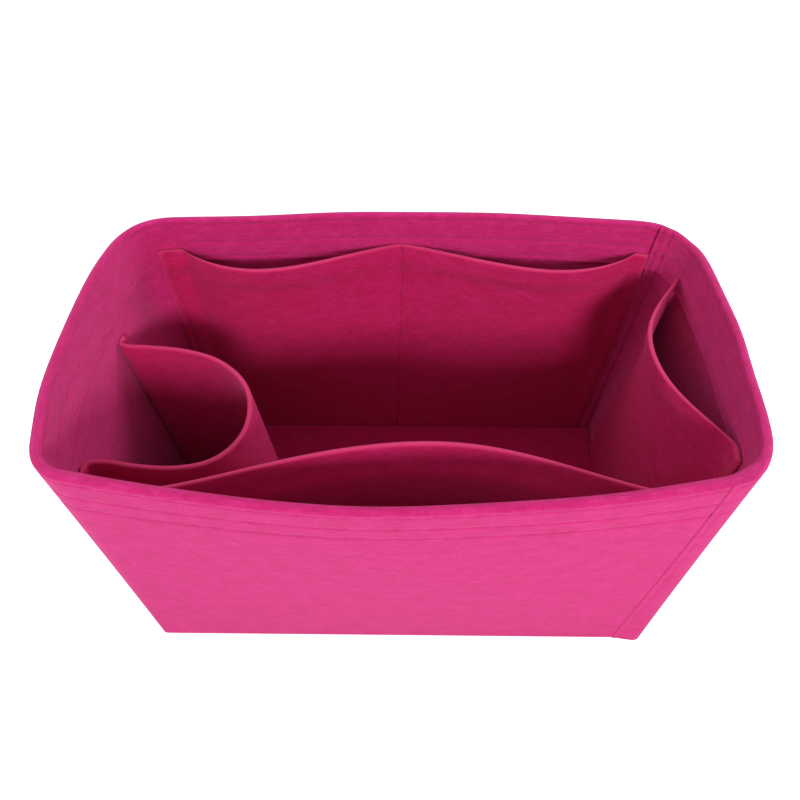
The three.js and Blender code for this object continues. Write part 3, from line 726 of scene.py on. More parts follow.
def right_bulge(station, z):
    across = (sharp_point(station, z, 0)[1] - RIGHT_POCKET["centre"]) / RIGHT_POCKET["half"]
    return RIGHT_POCKET["bulge"] * max(0, 1 - across * across) ** RIGHT_POCKET["power"]


right_pocket, right_pocket_point = pocket_panel(
    "right_pocket_felt", right_pocket_strip, right_inner, RIGHT_POCKET["rise"], right_bulge, right_seams)

# %% [markdown]
# ## The bottle loop
# One strip leaves the left wall, turns round the bottle and comes back. Its plan is a smooth curve through
# points given across the loop and out from the wall, which is how such a strip stands when it is sewn.

# %% Bottle loop
LOOP_FELT = FELT
LOOP_TOP = 157 * MM
LOOP_TALL = LOOP_TOP - POCKET_FOOT
LOOP_REACH = 84.5 * MM
LOOP_HALF_WIDTH = 42 * MM
LOOP_CENTRE_Y = -18 * MM
LOOP_SHARES = (
    (1.2, 0), (1.06, 0.004), (1.01, 0.06), (0.98, 0.22), (0.9, 0.5), (0.75, 0.71), (0.5, 0.87), (0.21, 0.965),
    (-0.12, 1), (-0.45, 0.98), (-0.75, 0.89), (-0.95, 0.75), (-1.04, 0.54), (-1.02, 0.33), (-0.96, 0.14),
    (-0.98, 0.03), (-1.08, 0.002), (-1.2, 0),
)
CURVE_STEPS = 40
LOOP_STEP = 2.4 * MM
LOOP_ROW = 4 * MM
LOOP_NUDGE = 0.5 * MM
LOOP_SWAY = 0.8 * MM
LOOP_SWAY_TURNS = 9


def centripetal_curve(corners, steps):
    """Points of a smooth curve through the corners, with the uneven spacing of the corners allowed for."""
    first = [2 * a - b for a, b in zip(corners[0], corners[1])]
    last = [2 * a - b for a, b in zip(corners[-1], corners[-2])]
    ends = [tuple(first), *corners, tuple(last)]
    found = []
    for p0, p1, p2, p3 in zip(ends, ends[1:], ends[2:], ends[3:]):
        t01, t12, t23 = (math.dist(a, b) ** 0.5 for a, b in ((p0, p1), (p1, p2), (p2, p3)))
        for i in range(steps):
            t = i / steps
            point = []
            for a, b, c, d in zip(p0, p1, p2, p3):
                out = ((b - a) / t01 - (c - a) / (t01 + t12) + (c - b) / t12) * t12
                into = ((c - b) / t12 - (d - b) / (t12 + t23) + (d - c) / t23) * t12
                cubic, square = 2 * b - 2 * c + out + into, -3 * b + 3 * c - 2 * out - into
                point.append(((cubic * t + square) * t + out) * t + b)
            found.append(tuple(point))
    return found + [corners[-1]]


loop_corners = [(out * LOOP_REACH, LOOP_CENTRE_Y + across * LOOP_HALF_WIDTH) for across, out in LOOP_SHARES]
loop_plan = centripetal_curve(loop_corners, CURVE_STEPS)
loop_lengths = lengths_along(loop_plan)
LOOP_LENGTH = loop_lengths[-1]


def loop_plan_at(u):
    return tuple(look_up(u, loop_lengths, [p[k] for p in loop_plan]) for k in (0, 1))


def loop_point(u, v, depth):
    z = POCKET_FOOT + v
    out, y = loop_plan_at(u)
    before, after = loop_plan_at(max(0, u - LOOP_NUDGE)), loop_plan_at(min(LOOP_LENGTH, u + LOOP_NUDGE))
    run = math.dist(before, after)
    along = ((after[0] - before[0]) / run, (after[1] - before[1]) / run)
    side = depth * LOOP_FELT / 2
    y += along[0] * side
    station = station_at(LEFT, y, z, WALL_FELT)
    wall = outline_point(station, z, WALL_FELT + wave(station, z))[0]
    sway = LOOP_SWAY * math.sin(LOOP_SWAY_TURNS * u / LOOP_LENGTH) * (v / LOOP_TALL) ** 2
    return (wall + SEAM_GAP + LOOP_FELT / 2 + out - along[1] * side, y, z + sway)


loop_seams = [LOOP_ROW, LOOP_LENGTH - LOOP_ROW]
bottle_loop = piece_facts(felt_sheet("bottle_loop_felt", spread(0, LOOP_LENGTH, LOOP_STEP, loop_seams),
                                     spread(0, LOOP_TALL, POCKET_ROW_STEP), loop_point, lambda u: LOOP_FELT,
                                     seam_press(loop_seams, sides=(-1, 1))))
print(f"the loop's strip is {LOOP_LENGTH:.4f} m long")

# %% [markdown]
# ## The zip pockets
# A zip lies along an arc on a bowed wall. Its own measures are the length along the arc, the height up the
# wall and the distance out from it. A felt patch with a window covers the tapes and makes the pocket.

# %% Where the zips lie
ZIP_BELOW_BAND = 21 * MM
TAPE_STAND_OFF = 0.6 * MM
TAPE_THICKNESS = 0.6 * MM
TAPE_WIDTH = 11 * MM
TAPE_CHANNEL = 1.2 * MM
TAPE_OVERRUN = 7 * MM
TOOTH_PITCH = 3 * MM
TOOTH_ROOT = 0.9 * MM
TOOTH_TIP = 1.4 * MM
TOOTH_REACH = 1 * MM
TOOTH_HEIGHT = 1.8 * MM
BEAD_WIDTH = 1.9 * MM
WINDOW_HEIGHT = 14 * MM
WINDOW_OVERRUN = 5 * MM
PATCH_FELT = 2 * MM
PATCH_CLEARANCE = 0.6 * MM
PATCH_TOP_MARGIN = 11 * MM
PATCH_PRESS_WIDTH = 10 * MM
ZIP_HEIGHT = BAND_FOOT - ZIP_BELOW_BAND
TOOTH_FOOT = TAPE_STAND_OFF + TAPE_THICKNESS + SEAM_GAP
BEAD_INNER = TOOTH_REACH + SEAM_GAP


def zip_seat(name, side, length, patch_length, patch_height):
    """side is BACK for the outside of the back wall, and FRONT for the inside of the front wall."""
    out = SIDE_OUTWARDS[side][1]
    bow = SIDE_BOWS[side]
    wall = sharp_point(side + 0.5, ZIP_HEIGHT, 0)[1]
    rim = sharp_point(side + 0.5, HEIGHT, 0)[1]
    radius = (side_length_at(side, ZIP_HEIGHT) / 2) ** 2 / (2 * bow * (ZIP_HEIGHT / HEIGHT))
    inside = side == FRONT
    foot = BAND_FOOT - PATCH_TOP_MARGIN - patch_height
    half = length / 2 + WINDOW_OVERRUN
    return {
        "name": name, "side": side, "length": length, "patch_length": patch_length,
        "patch_height": patch_height, "patch_foot": foot,
        "window_us": (patch_length / 2 - half, patch_length / 2 + half),
        "window_vs": (ZIP_HEIGHT - WINDOW_HEIGHT / 2 - foot, ZIP_HEIGHT + WINDOW_HEIGHT / 2 - foot),
        "lean": math.atan((rim - out * BASE_DEPTH / 2) / HEIGHT),
        "surface": wall + (WALL_FELT if inside else 0),
        "centre": wall - out * radius,
        "inset": (lambda out: WALL_FELT + out) if inside else (lambda out: -out),
    }


back_zip = zip_seat("back_zip", BACK, length=192 * MM, patch_length=236 * MM, patch_height=122 * MM)
front_zip = zip_seat("front_zip", FRONT, length=150 * MM, patch_length=190 * MM, patch_height=92 * MM)
ZIPS = (back_zip, front_zip)


def zip_point(seat, along, up, out):
    lean = seat["lean"]
    y = seat["surface"] + up * math.sin(lean) + out * math.cos(lean)
    z = ZIP_HEIGHT + up * math.cos(lean) - out * math.sin(lean)
    radius = y - seat["centre"]
    turn = along / abs(seat["surface"] - seat["centre"])
    return (abs(radius) * math.sin(turn), seat["centre"] + radius * math.cos(turn), z)


def zip_out(seat, along):
    a, b = Vector(zip_point(seat, along, 0, 0)), Vector(zip_point(seat, along, 0, MM))
    return (b - a).normalized()


print("zip arcs of radius", [round(abs(s["surface"] - s["centre"]), 3) for s in ZIPS])

# %% [markdown]
# The patch is pressed flat to the wall along its edges and stands over the tapes in between. Two rows of
# stitches hold it all round, and one row frames the window.

# %% Patches
PATCH_STEP = 3.4 * MM
PATCH_ROWS = (3 * MM, 6 * MM)
WINDOW_ROW = 2.6 * MM


def patch_point(seat, u, v, depth):
    along, z = u - seat["patch_length"] / 2, seat["patch_foot"] + v
    tape_foot = ZIP_HEIGHT - TAPE_CHANNEL / 2 - TAPE_WIDTH
    near_end = smooth(seat["patch_length"] / 2, seat["patch_length"] / 2 - PATCH_PRESS_WIDTH, abs(along))
    over_tape = smooth(tape_foot - PATCH_PRESS_WIDTH, tape_foot, z)
    raised = TAPE_STAND_OFF + TAPE_THICKNESS + PATCH_CLEARANCE
    out = blend(SEAM_GAP, raised, near_end * over_tape) + (1 + depth) * PATCH_FELT / 2
    inset = seat["inset"](out)
    station = station_at(seat["side"], along, z, inset)
    return (*outline_point(station, z, inset + wave(station, z)), z)


def make_patch(seat):
    across, window = seat["window_us"], seat["window_vs"]
    wide, tall = seat["patch_length"], seat["patch_height"]

    def press_at(u, v, side):
        if side < 0:
            return 0
        edge = min(u, wide - u, v, tall - v)
        beside = max(across[0] - u, u - across[1])
        above = max(window[0] - v, v - window[1])
        return max(sum(groove(edge - row) for row in PATCH_ROWS), groove(max(beside, above) - WINDOW_ROW))

    def gathered(length, opening):
        """Places close together at the seams and at the window's edges, where the last of a few wins."""
        seams = [*PATCH_ROWS, *(length - row for row in PATCH_ROWS)]
        seams += [opening[0] - WINDOW_ROW, opening[1] + WINDOW_ROW]
        rounding = [EDGE_ROUND_SHARE * PATCH_FELT * share for share in EDGE_STEPS]
        borders = {opening[0] - r for r in rounding} | {opening[1] + r for r in rounding}
        places = sorted(set(spread(0, length, PATCH_STEP, seams, thickness=PATCH_FELT)) | borders)
        return thinned([(place, place if place in borders else -1) for place in places])

    us, vs = gathered(wide, across), gathered(tall, window)

    def is_open(column, row):
        return across[0] <= us[column] < across[1] and window[0] <= vs[row] < window[1]

    piece = felt_sheet(seat["name"] + "_patch_felt", us, vs, lambda u, v, d: patch_point(seat, u, v, d),
                       lambda u: PATCH_FELT, press_at, is_open)
    return piece_facts(piece)


patches = {seat["name"]: make_patch(seat) for seat in ZIPS}

# %% [markdown]
# A zip tape is a narrow woven ribbon. Its inner edge carries the teeth, and its outer edge lies under the
# patch.

# %% Tapes
TAPE_STEPS = (3 * MM, 1.1 * MM)


def full_name(seat, part, side):
    return f"{seat['name']}_{part}_{'upper' if side > 0 else 'lower'}"


def make_tape(seat, side):
    half = seat["length"] / 2 + TAPE_OVERRUN

    def point_at(u, v, depth):
        up = side * (TAPE_CHANNEL / 2 + v)
        return zip_point(seat, u - half, up, TAPE_STAND_OFF + (1 + depth) * TAPE_THICKNESS / 2)

    us, vs = (spread(0, length, step, thickness=TAPE_THICKNESS)
              for length, step in zip((2 * half, TAPE_WIDTH), TAPE_STEPS))
    name = full_name(seat, "tape", side) + "_weave"
    return piece_facts(felt_sheet(name, us, vs, point_at, lambda u: TAPE_THICKNESS))


tapes = {(seat["name"], side): make_tape(seat, side) for seat in ZIPS for side in (1, -1)}

# %% [markdown]
# ## Repeating things along a path
# Stitches and zip teeth repeat at a pitch along a path. Geometry Nodes does that: the path becomes a curve,
# is resampled at the pitch, and an item is put at each point, turned to the path and to the surface. An
# Array modifier would need one object for each row; this one tree takes any number of rows at once.

# %% The node tree
def set_inputs(tree, node, inputs):
    """Links each input that gets a socket, and sets the others to their values."""
    for name, value in inputs.items():
        if isinstance(value, bpy.types.NodeSocket):
            tree.links.new(value, node.inputs[name])
        else:
            node.inputs[name].default_value = value


def add_node(tree, kind, inputs, output, **settings):
    """Adds a node and gives back one of its outputs."""
    node = tree.nodes.new(kind)
    for setting, value in settings.items():
        setattr(node, setting, value)
    set_inputs(tree, node, inputs)
    return node.outputs[output]


def math_node(tree, operation, a, b):
    return add_node(tree, "ShaderNodeMath", {0: a, 1: b}, 0, operation=operation)


def repeat_tree():
    tree = bpy.data.node_groups.new("repeat along paths", "GeometryNodeTree")
    tree.interface.new_socket(name="Geometry", in_out="OUTPUT", socket_type="NodeSocketGeometry")
    for name, kind in (("Paths", "Geometry"), ("Item", "Object"), ("Pitch", "Float"), ("Unevenness", "Float"),
                       ("Seed", "Int"), ("Material", "Material")):
        tree.interface.new_socket(name=name, in_out="INPUT", socket_type="NodeSocket" + kind)
    given = tree.nodes.new("NodeGroupInput").outputs
    curve = add_node(tree, "GeometryNodeMeshToCurve", {"Mesh": given["Paths"]}, "Curve")
    points = add_node(tree, "GeometryNodeResampleCurve", {"Curve": curve, "Length": given["Pitch"]}, "Curve",
                      mode="LENGTH")
    item = add_node(tree, "GeometryNodeObjectInfo", {"Object": given["Item"]}, "Geometry")
    tangent = add_node(tree, "GeometryNodeInputTangent", {}, "Tangent")
    outwards = add_node(tree, "GeometryNodeInputNamedAttribute", {"Name": "outwards"}, "Attribute",
                        data_type="FLOAT_VECTOR")
    turn = add_node(tree, "FunctionNodeAxesToRotation", {"Primary Axis": tangent, "Secondary Axis": outwards},
                    "Rotation", primary_axis="X", secondary_axis="Z")
    low, high = (math_node(tree, operation, 1, given["Unevenness"]) for operation in ("SUBTRACT", "ADD"))
    size = add_node(tree, "FunctionNodeRandomValue", {2: low, 3: high, "Seed": given["Seed"]}, 1,
                    data_type="FLOAT")
    placed = add_node(tree, "GeometryNodeInstanceOnPoints",
                      {"Points": points, "Instance": item, "Rotation": turn, "Scale": size}, "Instances")
    real = add_node(tree, "GeometryNodeRealizeInstances", {"Geometry": placed}, "Geometry")
    dressed = add_node(tree, "GeometryNodeSetMaterial", {"Geometry": real, "Material": given["Material"]},
                       "Geometry")
    set_inputs(tree, tree.nodes.new("NodeGroupOutput"), {"Geometry": dressed})
    return tree


REPEAT = repeat_tree()


def frozen(piece):
    """The piece with its modifiers worked out into a plain mesh."""
    piece.update_tag()
    plain = bpy.data.meshes.new_from_object(piece.evaluated_get(bpy.context.evaluated_depsgraph_get()))
    piece.modifiers.clear()
    piece.data = plain
    return piece


def repeat_along(name, paths, item, pitch, unevenness, seed, material):
    """paths are lists of (point, outward direction). The result is a plain mesh."""
    points, edges, directions = [], [], []
    for path in paths:
        first = len(points)
        points += [tuple(point) for point, out in path]
        directions += [tuple(out) for point, out in path]
        edges += [(first + i, first + i + 1) for i in range(len(path) - 1)]
    mesh = bpy.data.meshes.new(name)
    mesh.from_pydata(points, edges, [])
    outwards = mesh.attributes.new("outwards", "FLOAT_VECTOR", "POINT")
    outwards.data.foreach_set("vector", [v for out in directions for v in out])
    piece = add_object(name, mesh)
    modifier = piece.modifiers.new("repeat", "NODES")
    modifier.node_group = REPEAT
    values = {"Item": item, "Pitch": pitch, "Unevenness": unevenness, "Seed": seed, "Material": material}
    for socket in REPEAT.interface.items_tree:
        if socket.name in values:
            modifier[socket.identifier] = values[socket.name]
    shade_smooth(frozen(piece).data)
    return piece_facts(piece)


# %% [markdown]
# ## The materials
# Needled felt has no weave. Its fibres lie mostly along the cloth, so the colour has fine streaks along it,
# a slow mottling, and a fuzz that scatters light, which the sheen gives. The patterns read the sheet's own
# map in real metres, so they follow the felt round its bends.

# %% Shader helpers
NOISE_ROUGHNESS = 0.55


def new_material(name):
    material = bpy.data.materials.new(name)
    material.use_nodes = True
    return material, material.node_tree


def finish_material(material, inputs):
    set_inputs(material.node_tree, material.node_tree.nodes["Principled BSDF"], inputs)
    return material


def srgb(red, green, blue):
    def linear(value):
        value /= 255
        return value / 12.92 if value <= 0.04045 else ((value + 0.055) / 1.055) ** 2.4
    return (linear(red), linear(green), linear(blue), 1)


def noise(tree, vector, scale, detail):
    return add_node(tree, "ShaderNodeTexNoise",
                    {"Scale": scale, "Detail": detail, "Roughness": NOISE_ROUGHNESS, "Vector": vector}, "Fac")


def stretched(tree, along, across, turn=0):
    """The sheet's own map, turned, with so many cells to the metre along and across."""
    flat = add_node(tree, "ShaderNodeUVMap", {}, "UV", uv_map="felt")
    turned = add_node(tree, "ShaderNodeMapping", {"Rotation": (0, 0, turn), "Vector": flat}, "Vector")
    return add_node(tree, "ShaderNodeMapping", {"Scale": (along, across, 1), "Vector": turned}, "Vector")


def ramp(tree, factor, stops):
    colour = add_node(tree, "ShaderNodeValToRGB", {"Fac": factor}, "Color")
    elements = colour.node.color_ramp.elements
    elements[0].position, elements[0].color = stops[0]
    elements[1].position, elements[1].color = stops[-1]
    for place, middle in stops[1:-1]:
        elements.new(place).color = middle
    return colour


# %% [markdown]
# The felt's streaks, mottling and grain are four noises at different scales. They are added into one value,
# which both picks the colour and raises the surface. A cut edge is paler, partly from the ends of its fibres
# and partly as a painted highlight where the edge catches the light. The mix node has sockets for each kind
# of data, and those for colours are found by their numbers.

# %% Felt
FELT_BUMP = 0.25 * MM
FELT_PATTERNS = {
    "streaks": {"cells": (170, 900), "detail": 4, "share": 0.4},
    "crossing": {"cells": (900, 260, 0.5), "detail": 3, "share": 0.2},
    "mottling": {"cells": (70, 120), "detail": 3, "share": 0.25},
    "grain": {"cells": (2600, 2600), "detail": 2, "share": 0.15},
}
FELT_RAMP = (0.31, 0.5, 0.69)
COLOUR_A, COLOUR_B, COLOUR_RESULT = 6, 7, 2


def felt_material(name, colours, cut_fibre_and_highlight_colour, sheen):
    material, tree = new_material(name)
    streaks, crossing, mottling, grain = (
        math_node(tree, "MULTIPLY", noise(tree, stretched(tree, *pattern["cells"]), 1, pattern["detail"]),
                  pattern["share"])
        for pattern in FELT_PATTERNS.values())
    fibres, soft = math_node(tree, "ADD", streaks, crossing), math_node(tree, "ADD", mottling, grain)
    value = math_node(tree, "ADD", fibres, soft)
    # Where cut is 1 the colour turns paler, partly for the fibre ends and partly as a painted highlight on
    # the edge.
    cut = add_node(tree, "ShaderNodeAttribute", {}, "Fac", attribute_name="cut")
    face_colour = ramp(tree, value, tuple(zip(FELT_RAMP, colours)))
    edged = add_node(tree, "ShaderNodeMix", {"Factor": cut, COLOUR_A: face_colour, COLOUR_B: cut_fibre_and_highlight_colour},
                     COLOUR_RESULT, data_type="RGBA")
    bump = add_node(tree, "ShaderNodeBump", {"Distance": FELT_BUMP, "Strength": 0.8, "Height": value},
                    "Normal")
    return finish_material(material, {
        "Base Color": edged, "Normal": bump, "Roughness": 0.95, "Specular IOR Level": 0.15,
        "Sheen Weight": sheen, "Sheen Roughness": 0.6, "Sheen Tint": srgb(255, 150, 215)})


felt = felt_material("magenta needled felt", (srgb(160, 14, 77), srgb(185, 27, 100), srgb(202, 48, 126)),
                     srgb(198, 52, 114), sheen=0.3)
# The pieces inside the box take a copy of the same felt with less green and blue: painted shade, for the
# redder shade deep in the box.
shaded_inner_felt = felt_material("magenta needled felt with painted inner shade",
                           (srgb(159, 11, 65), srgb(183, 21, 85), srgb(201, 38, 109)),
                           srgb(196, 54, 102), sheen=0.12)

# %% [markdown]
# Thread, teeth and metal each vary a little with one noise. Sewing thread is smoother than felt. Plated metal
# varies in roughness too. The tape's ribs are a wave across its weave.

# %% Thread, tape, teeth and metal
TAPE_RIBS = (420, 420)
TAPE_BUMP = 0.12 * MM


def clouded_material(name, scale, detail, stops, roughness, metallic=0):
    """A material with one noise in its colour. A pair of roughnesses stands for the ends of a range."""
    material, tree = new_material(name)
    cloud = noise(tree, add_node(tree, "ShaderNodeTexCoord", {}, "Object"), scale, detail)
    if isinstance(roughness, tuple):
        ends = {"To Min": roughness[0], "To Max": roughness[1]}
        roughness = add_node(tree, "ShaderNodeMapRange", {"Value": cloud, **ends}, "Result")
    return finish_material(material, {"Base Color": ramp(tree, cloud, stops), "Roughness": roughness,
                                      "Metallic": metallic})


def tape_material():
    material, tree = new_material("woven zip tape")
    ribs = add_node(tree, "ShaderNodeTexWave",
                    {"Scale": 1, "Distortion": 0.4, "Vector": stretched(tree, *TAPE_RIBS)}, "Fac",
                    bands_direction="DIAGONAL")
    bump = add_node(tree, "ShaderNodeBump", {"Distance": TAPE_BUMP, "Height": ribs}, "Normal")
    colour = ramp(tree, ribs, ((0, srgb(150, 18, 76)), (1, srgb(190, 30, 104))))
    return finish_material(material, {"Base Color": colour, "Normal": bump, "Roughness": 0.85,
                                      "Sheen Weight": 0.2})


# The thread is coloured a little darker than the felt: painted shade of the dips where the stitches sink in.
thread = clouded_material("magenta sewing thread with painted stitch shade", scale=2600, detail=1, roughness=0.6,
                          stops=((0.35, srgb(150, 15, 70)), (0.65, srgb(176, 34, 98))))
tape_weave = tape_material()
moulded = clouded_material("moulded zip teeth", scale=400, detail=2, roughness=0.38,
                           stops=((0.3, srgb(184, 32, 98)), (0.7, srgb(198, 44, 112))))
nickel = clouded_material("nickel plate", scale=1500, detail=3, roughness=(0.2, 0.36), metallic=1,
                          stops=((0.3, srgb(196, 198, 202)), (0.7, srgb(222, 223, 226))))
print("materials:", [m.name for m in (felt, shaded_inner_felt, thread, tape_weave, moulded, nickel)])

# %% [markdown]
# ## Stitches
# A lockstitch shows on each face as short lengths of thread with both ends pulled into the felt. One small
# bent tube is that length, and the tree above repeats it along every seam.

# %% One stitch
STITCH_PITCH = 4.5 * MM
STITCH_LENGTH = 3.7 * MM
THREAD_RADIUS = 0.34 * MM
STITCH_SIDES = 5
STITCH_RINGS = ((-1, 0.5), (-0.6, 1), (0.6, 1), (1, 0.5))
STITCH_DIP = 0.35 * MM
STITCH_DIP_POWER = 4
STITCH_UNEVENNESS = 0.07


def tube_faces(rings, sides):
    """The faces of a tube that is closed at both ends. Its points go round one ring after the other."""
    last = (rings - 1) * sides
    faces = []
    for ring in range(0, last, sides):
        for side in range(sides):
            a, b = ring + side, ring + (side + 1) % sides
            faces.append((a, b, b + sides, a + sides))
    return [*faces, tuple(reversed(range(sides))), tuple(range(last, last + sides))]


def make_stitch():
    points = []
    for along, size in STITCH_RINGS:
        for side in range(STITCH_SIDES):
            turn = 2 * math.pi * side / STITCH_SIDES
            y, z = (THREAD_RADIUS * size * f(turn) for f in (math.cos, math.sin))
            points.append((along * STITCH_LENGTH / 2, y, z - STITCH_DIP * along ** STITCH_DIP_POWER))
    faces = [tuple(reversed(face)) for face in tube_faces(len(STITCH_RINGS), STITCH_SIDES)]
    mesh = bpy.data.meshes.new("stitch")
    mesh.from_pydata(points, [], faces)
    return bpy.data.objects.new("stitch", mesh)


stitch = make_stitch()


def sew(name, paths, seed):
    return repeat_along(name, paths, stitch, STITCH_PITCH, STITCH_UNEVENNESS, seed, thread)


# %% [markdown]
# A seam on a wall is a run of points on the felt's face, each with the direction out of it. The direction
# comes from two points, one on the face and one a little further out.

# %% Seams on the walls
OUTSIDE, INSIDE = -1, 1
SEAM_STEP = 4 * MM
THREAD_SINK = 0.12 * MM
ROW_MARGIN = 2 * MM
RIM_MARGIN = 3 * MM
POCKET_MARGIN = 4 * MM
LAP_FOOT_MARGIN = 5 * MM


def seam_path(points_at, first, last):
    """points_at(t, out) is a point over the seam at t, so far out from the felt's face."""
    count = max(2, round((last - first) / SEAM_STEP))
    path = []
    for i in range(count + 1):
        t = blend(first, last, i / count)
        on, above = Vector(points_at(t, -THREAD_SINK)), Vector(points_at(t, MM))
        path.append((on, (above - on).normalized()))
    return path


def row_point(station, z, face_at, way, depth, out):
    """face_at gives a face's inset at a station, and the row lies in a groove of this depth in it."""
    return shell_point(station, z, face_at(station) - way * depth + way * out)


def wall_row(strip, z, face_at, way, depth, start=ROW_MARGIN, end=ROW_MARGIN):
    """A row along a strip, on its outside or its inside."""
    return seam_path(lambda u, out: row_point(strip.station(u), z, face_at, way, depth, out),
                     start, strip.length - end)


def upright_row(station, face_at, way, depth, low, high):
    return seam_path(lambda z, out: row_point(station, z, face_at, way, depth, out), low, high)


grooved = MEAN_PULL * GROOVE_DEPTH
deep_grooved = MEAN_PULL * DEEP_GROOVE_DEPTH
rim_outside, rim_inside = [], []
for z in rim_row_heights:
    rim_outside += [wall_row(wrap_strip, z, wrap_outer, OUTSIDE, grooved, RIM_MARGIN, FRONT_LAP_COVER + MM),
                    wall_row(right_strip, z, right_outer, OUTSIDE, grooved, end=BACK_LAP - ROW_MARGIN)]
    rim_inside += [wall_row(main_band_strip, z, lambda s: BAND_OUTER + BAND_FELT, INSIDE, grooved),
                   wall_row(right_band_strip, z, right_band_inner, INSIDE, grooved)]
rim_outside_stitches = sew("rim_stitches_outside", rim_outside, seed=3)
rim_inside_stitches = sew("rim_stitches_inside", rim_inside, seed=5)

# %% [markdown]
# The laps are sewn from top to bottom. Inside, the back lap's two rows run over the facing as well.

# %% Seams of the laps
def back_lap_outer(station):
    """The back wall's end covers the right wall's lap outside, as far as it reaches."""
    return wrap_outer(station - SIDES) if station > wrap_strip.first + SIDES else right_outer(station)


RIM_END = HEIGHT - RIM_MARGIN
lap_paths = [upright_row(right_strip.station(row), right_outer, OUTSIDE, grooved, RIM_MARGIN, RIM_END)
             for row in LAP_ROWS_FRONT]
for row in LAP_ROWS_BACK:
    station = right_strip.station(right_strip.length - row)
    lap_paths += [
        upright_row(station, right_inner, INSIDE, deep_grooved, LAP_FOOT_MARGIN, BAND_FOOT - ROW_MARGIN),
        upright_row(station, right_band_inner, INSIDE, deep_grooved, BAND_FOOT + ROW_MARGIN, RIM_END),
        upright_row(station, back_lap_outer, OUTSIDE, 0, RIM_MARGIN, RIM_END)]
lap_stitches = sew("lap_stitches", lap_paths, seed=7)

# %% [markdown]
# The pocket panels and the loop are sewn through to the outside of the walls, so each seam has a row inside
# and a row outside, except where the photograph shows the outside plain.

# %% Seams of the pockets and the loop
LOOP_ROW_SHARE = 1.13


def panel_row(panel_point, u, tall, felt_face=1, depth=grooved):
    def at(v, out):
        inner, outer = Vector(panel_point(u, v, felt_face)), Vector(panel_point(u, v, -felt_face))
        face = inner + (outer - inner).normalized() * depth
        return face + (inner - outer).normalized() * out
    return seam_path(at, POCKET_MARGIN, tall - RIM_MARGIN)


pocket_paths = [panel_row(back_pocket_point, u, POCKET_TALL, depth=deep_grooved) for u in back_seams]
pocket_paths += [panel_row(right_pocket_point, u, POCKET_TALL) for u in right_seams]
pocket_paths += [panel_row(loop_point, u, LOOP_TALL, -1) for u in loop_seams]
outside_rows = [(back_pocket_strip.station(back_seams[-1]), lambda s: 0, BAND_FOOT)]
outside_rows += [(right_pocket_strip.station(u), right_outer, BAND_FOOT) for u in right_seams]
outside_rows += [(station_at(LEFT, LOOP_CENTRE_Y + across * LOOP_HALF_WIDTH, LOOP_TOP / 2, 0), lambda s: 0,
                  LOOP_TOP - POCKET_MARGIN) for across in (-LOOP_ROW_SHARE, LOOP_ROW_SHARE)]
pocket_paths += [upright_row(station, face_at, OUTSIDE, 0, POCKET_MARGIN, top)
                 for station, face_at, top in outside_rows]
pocket_stitches = sew("pocket_stitches", pocket_paths, seed=11)

# %% [markdown]
# Round each zip patch run two rows along its edge and one row round its window.

# %% Seams of the patches
def rectangle(low_u, high_u, low_v, high_v):
    return (((low_u, low_v), (high_u, low_v)), ((high_u, low_v), (high_u, high_v)),
            ((high_u, high_v), (low_u, high_v)), ((low_u, high_v), (low_u, low_v)))


def patch_paths(seat):
    across, window = seat["window_us"], seat["window_vs"]
    wide, tall = seat["patch_length"], seat["patch_height"]
    rings = [rectangle(row, wide - row, row, tall - row) for row in PATCH_ROWS]
    rings.append(rectangle(across[0] - WINDOW_ROW, across[1] + WINDOW_ROW, window[0] - WINDOW_ROW,
                           window[1] + WINDOW_ROW))
    paths = []
    for ring in rings:
        for start, end in ring:
            length = math.dist(start, end)

            def at(t, out, start=start, end=end, length=length):
                u, v = (blend(a, b, t / length) for a, b in zip(start, end))
                face, behind = Vector(patch_point(seat, u, v, 1)), Vector(patch_point(seat, u, v, -1))
                outward = (face - behind).normalized()
                return face + outward * (out - grooved)

            paths.append(seam_path(at, 0, length))
    return paths


patch_stitches = {seat["name"]: sew(seat["name"] + "_patch_stitches", patch_paths(seat), seed=13)
                  for seat in ZIPS}
bpy.data.objects.remove(stitch)

# %% [markdown]
# ## Zip teeth
# A moulded tooth is wide at its tip and narrow at its root, so that it locks between the two facing it. The
# same tree repeats it along the zip, and a bead along the tape's inner edge joins the roots.

# %% Teeth
TOOTH_BEVEL = 0.16 * MM
TOOTH_INTO_BEAD = 0.2 * MM
TOOTH_NECK = 0.3 * MM
BEAD_STEP = 2 * MM
BEAD_RING = ((0, 0.2), (0, 0.8), (0.2, 1), (0.8, 1), (1, 0.8), (1, 0.2), (0.8, 0), (0.2, 0))
PITCH_SLACK = 0.99999


def make_tooth(side):
    """One tooth. X runs along the zip, Y across it and Z out of the tape, with its foot at the path."""
    half = [(TOOTH_TIP / 2, -TOOTH_REACH), (TOOTH_ROOT / 2, BEAD_INNER - TOOTH_NECK),
            (TOOTH_ROOT / 2, BEAD_INNER + TOOTH_INTO_BEAD)]
    outline = [(-x, y) for x, y in reversed(half)] + half
    points = [(x, side * y, z) for z in (0, TOOTH_HEIGHT) for x, y in outline]
    count = len(outline)
    faces = [tuple(range(count)), tuple(reversed(range(count, 2 * count)))]
    faces += [(i, i + count, (i + 1) % count + count, (i + 1) % count) for i in range(count)]
    if side > 0:
        faces = [tuple(reversed(face)) for face in faces]
    mesh = bpy.data.meshes.new("tooth")
    mesh.from_pydata(points, [], faces)
    tooth = add_object("tooth", mesh)
    bevel = tooth.modifiers.new("bevel", "BEVEL")
    bevel.width, bevel.segments = TOOTH_BEVEL, 1
    frozen(tooth)
    bpy.context.scene.collection.objects.unlink(tooth)
    return tooth


def make_bead(name, seat, side):
    half = seat["length"] / 2
    steps = round(2 * half / BEAD_STEP)
    points = [zip_point(seat, blend(-half, half, i / steps), side * (BEAD_INNER + across * BEAD_WIDTH),
                        TOOTH_FOOT + out * TOOTH_HEIGHT)
              for i in range(steps + 1) for across, out in BEAD_RING]
    return make_mesh(name, points, tube_faces(steps + 1, len(BEAD_RING)))


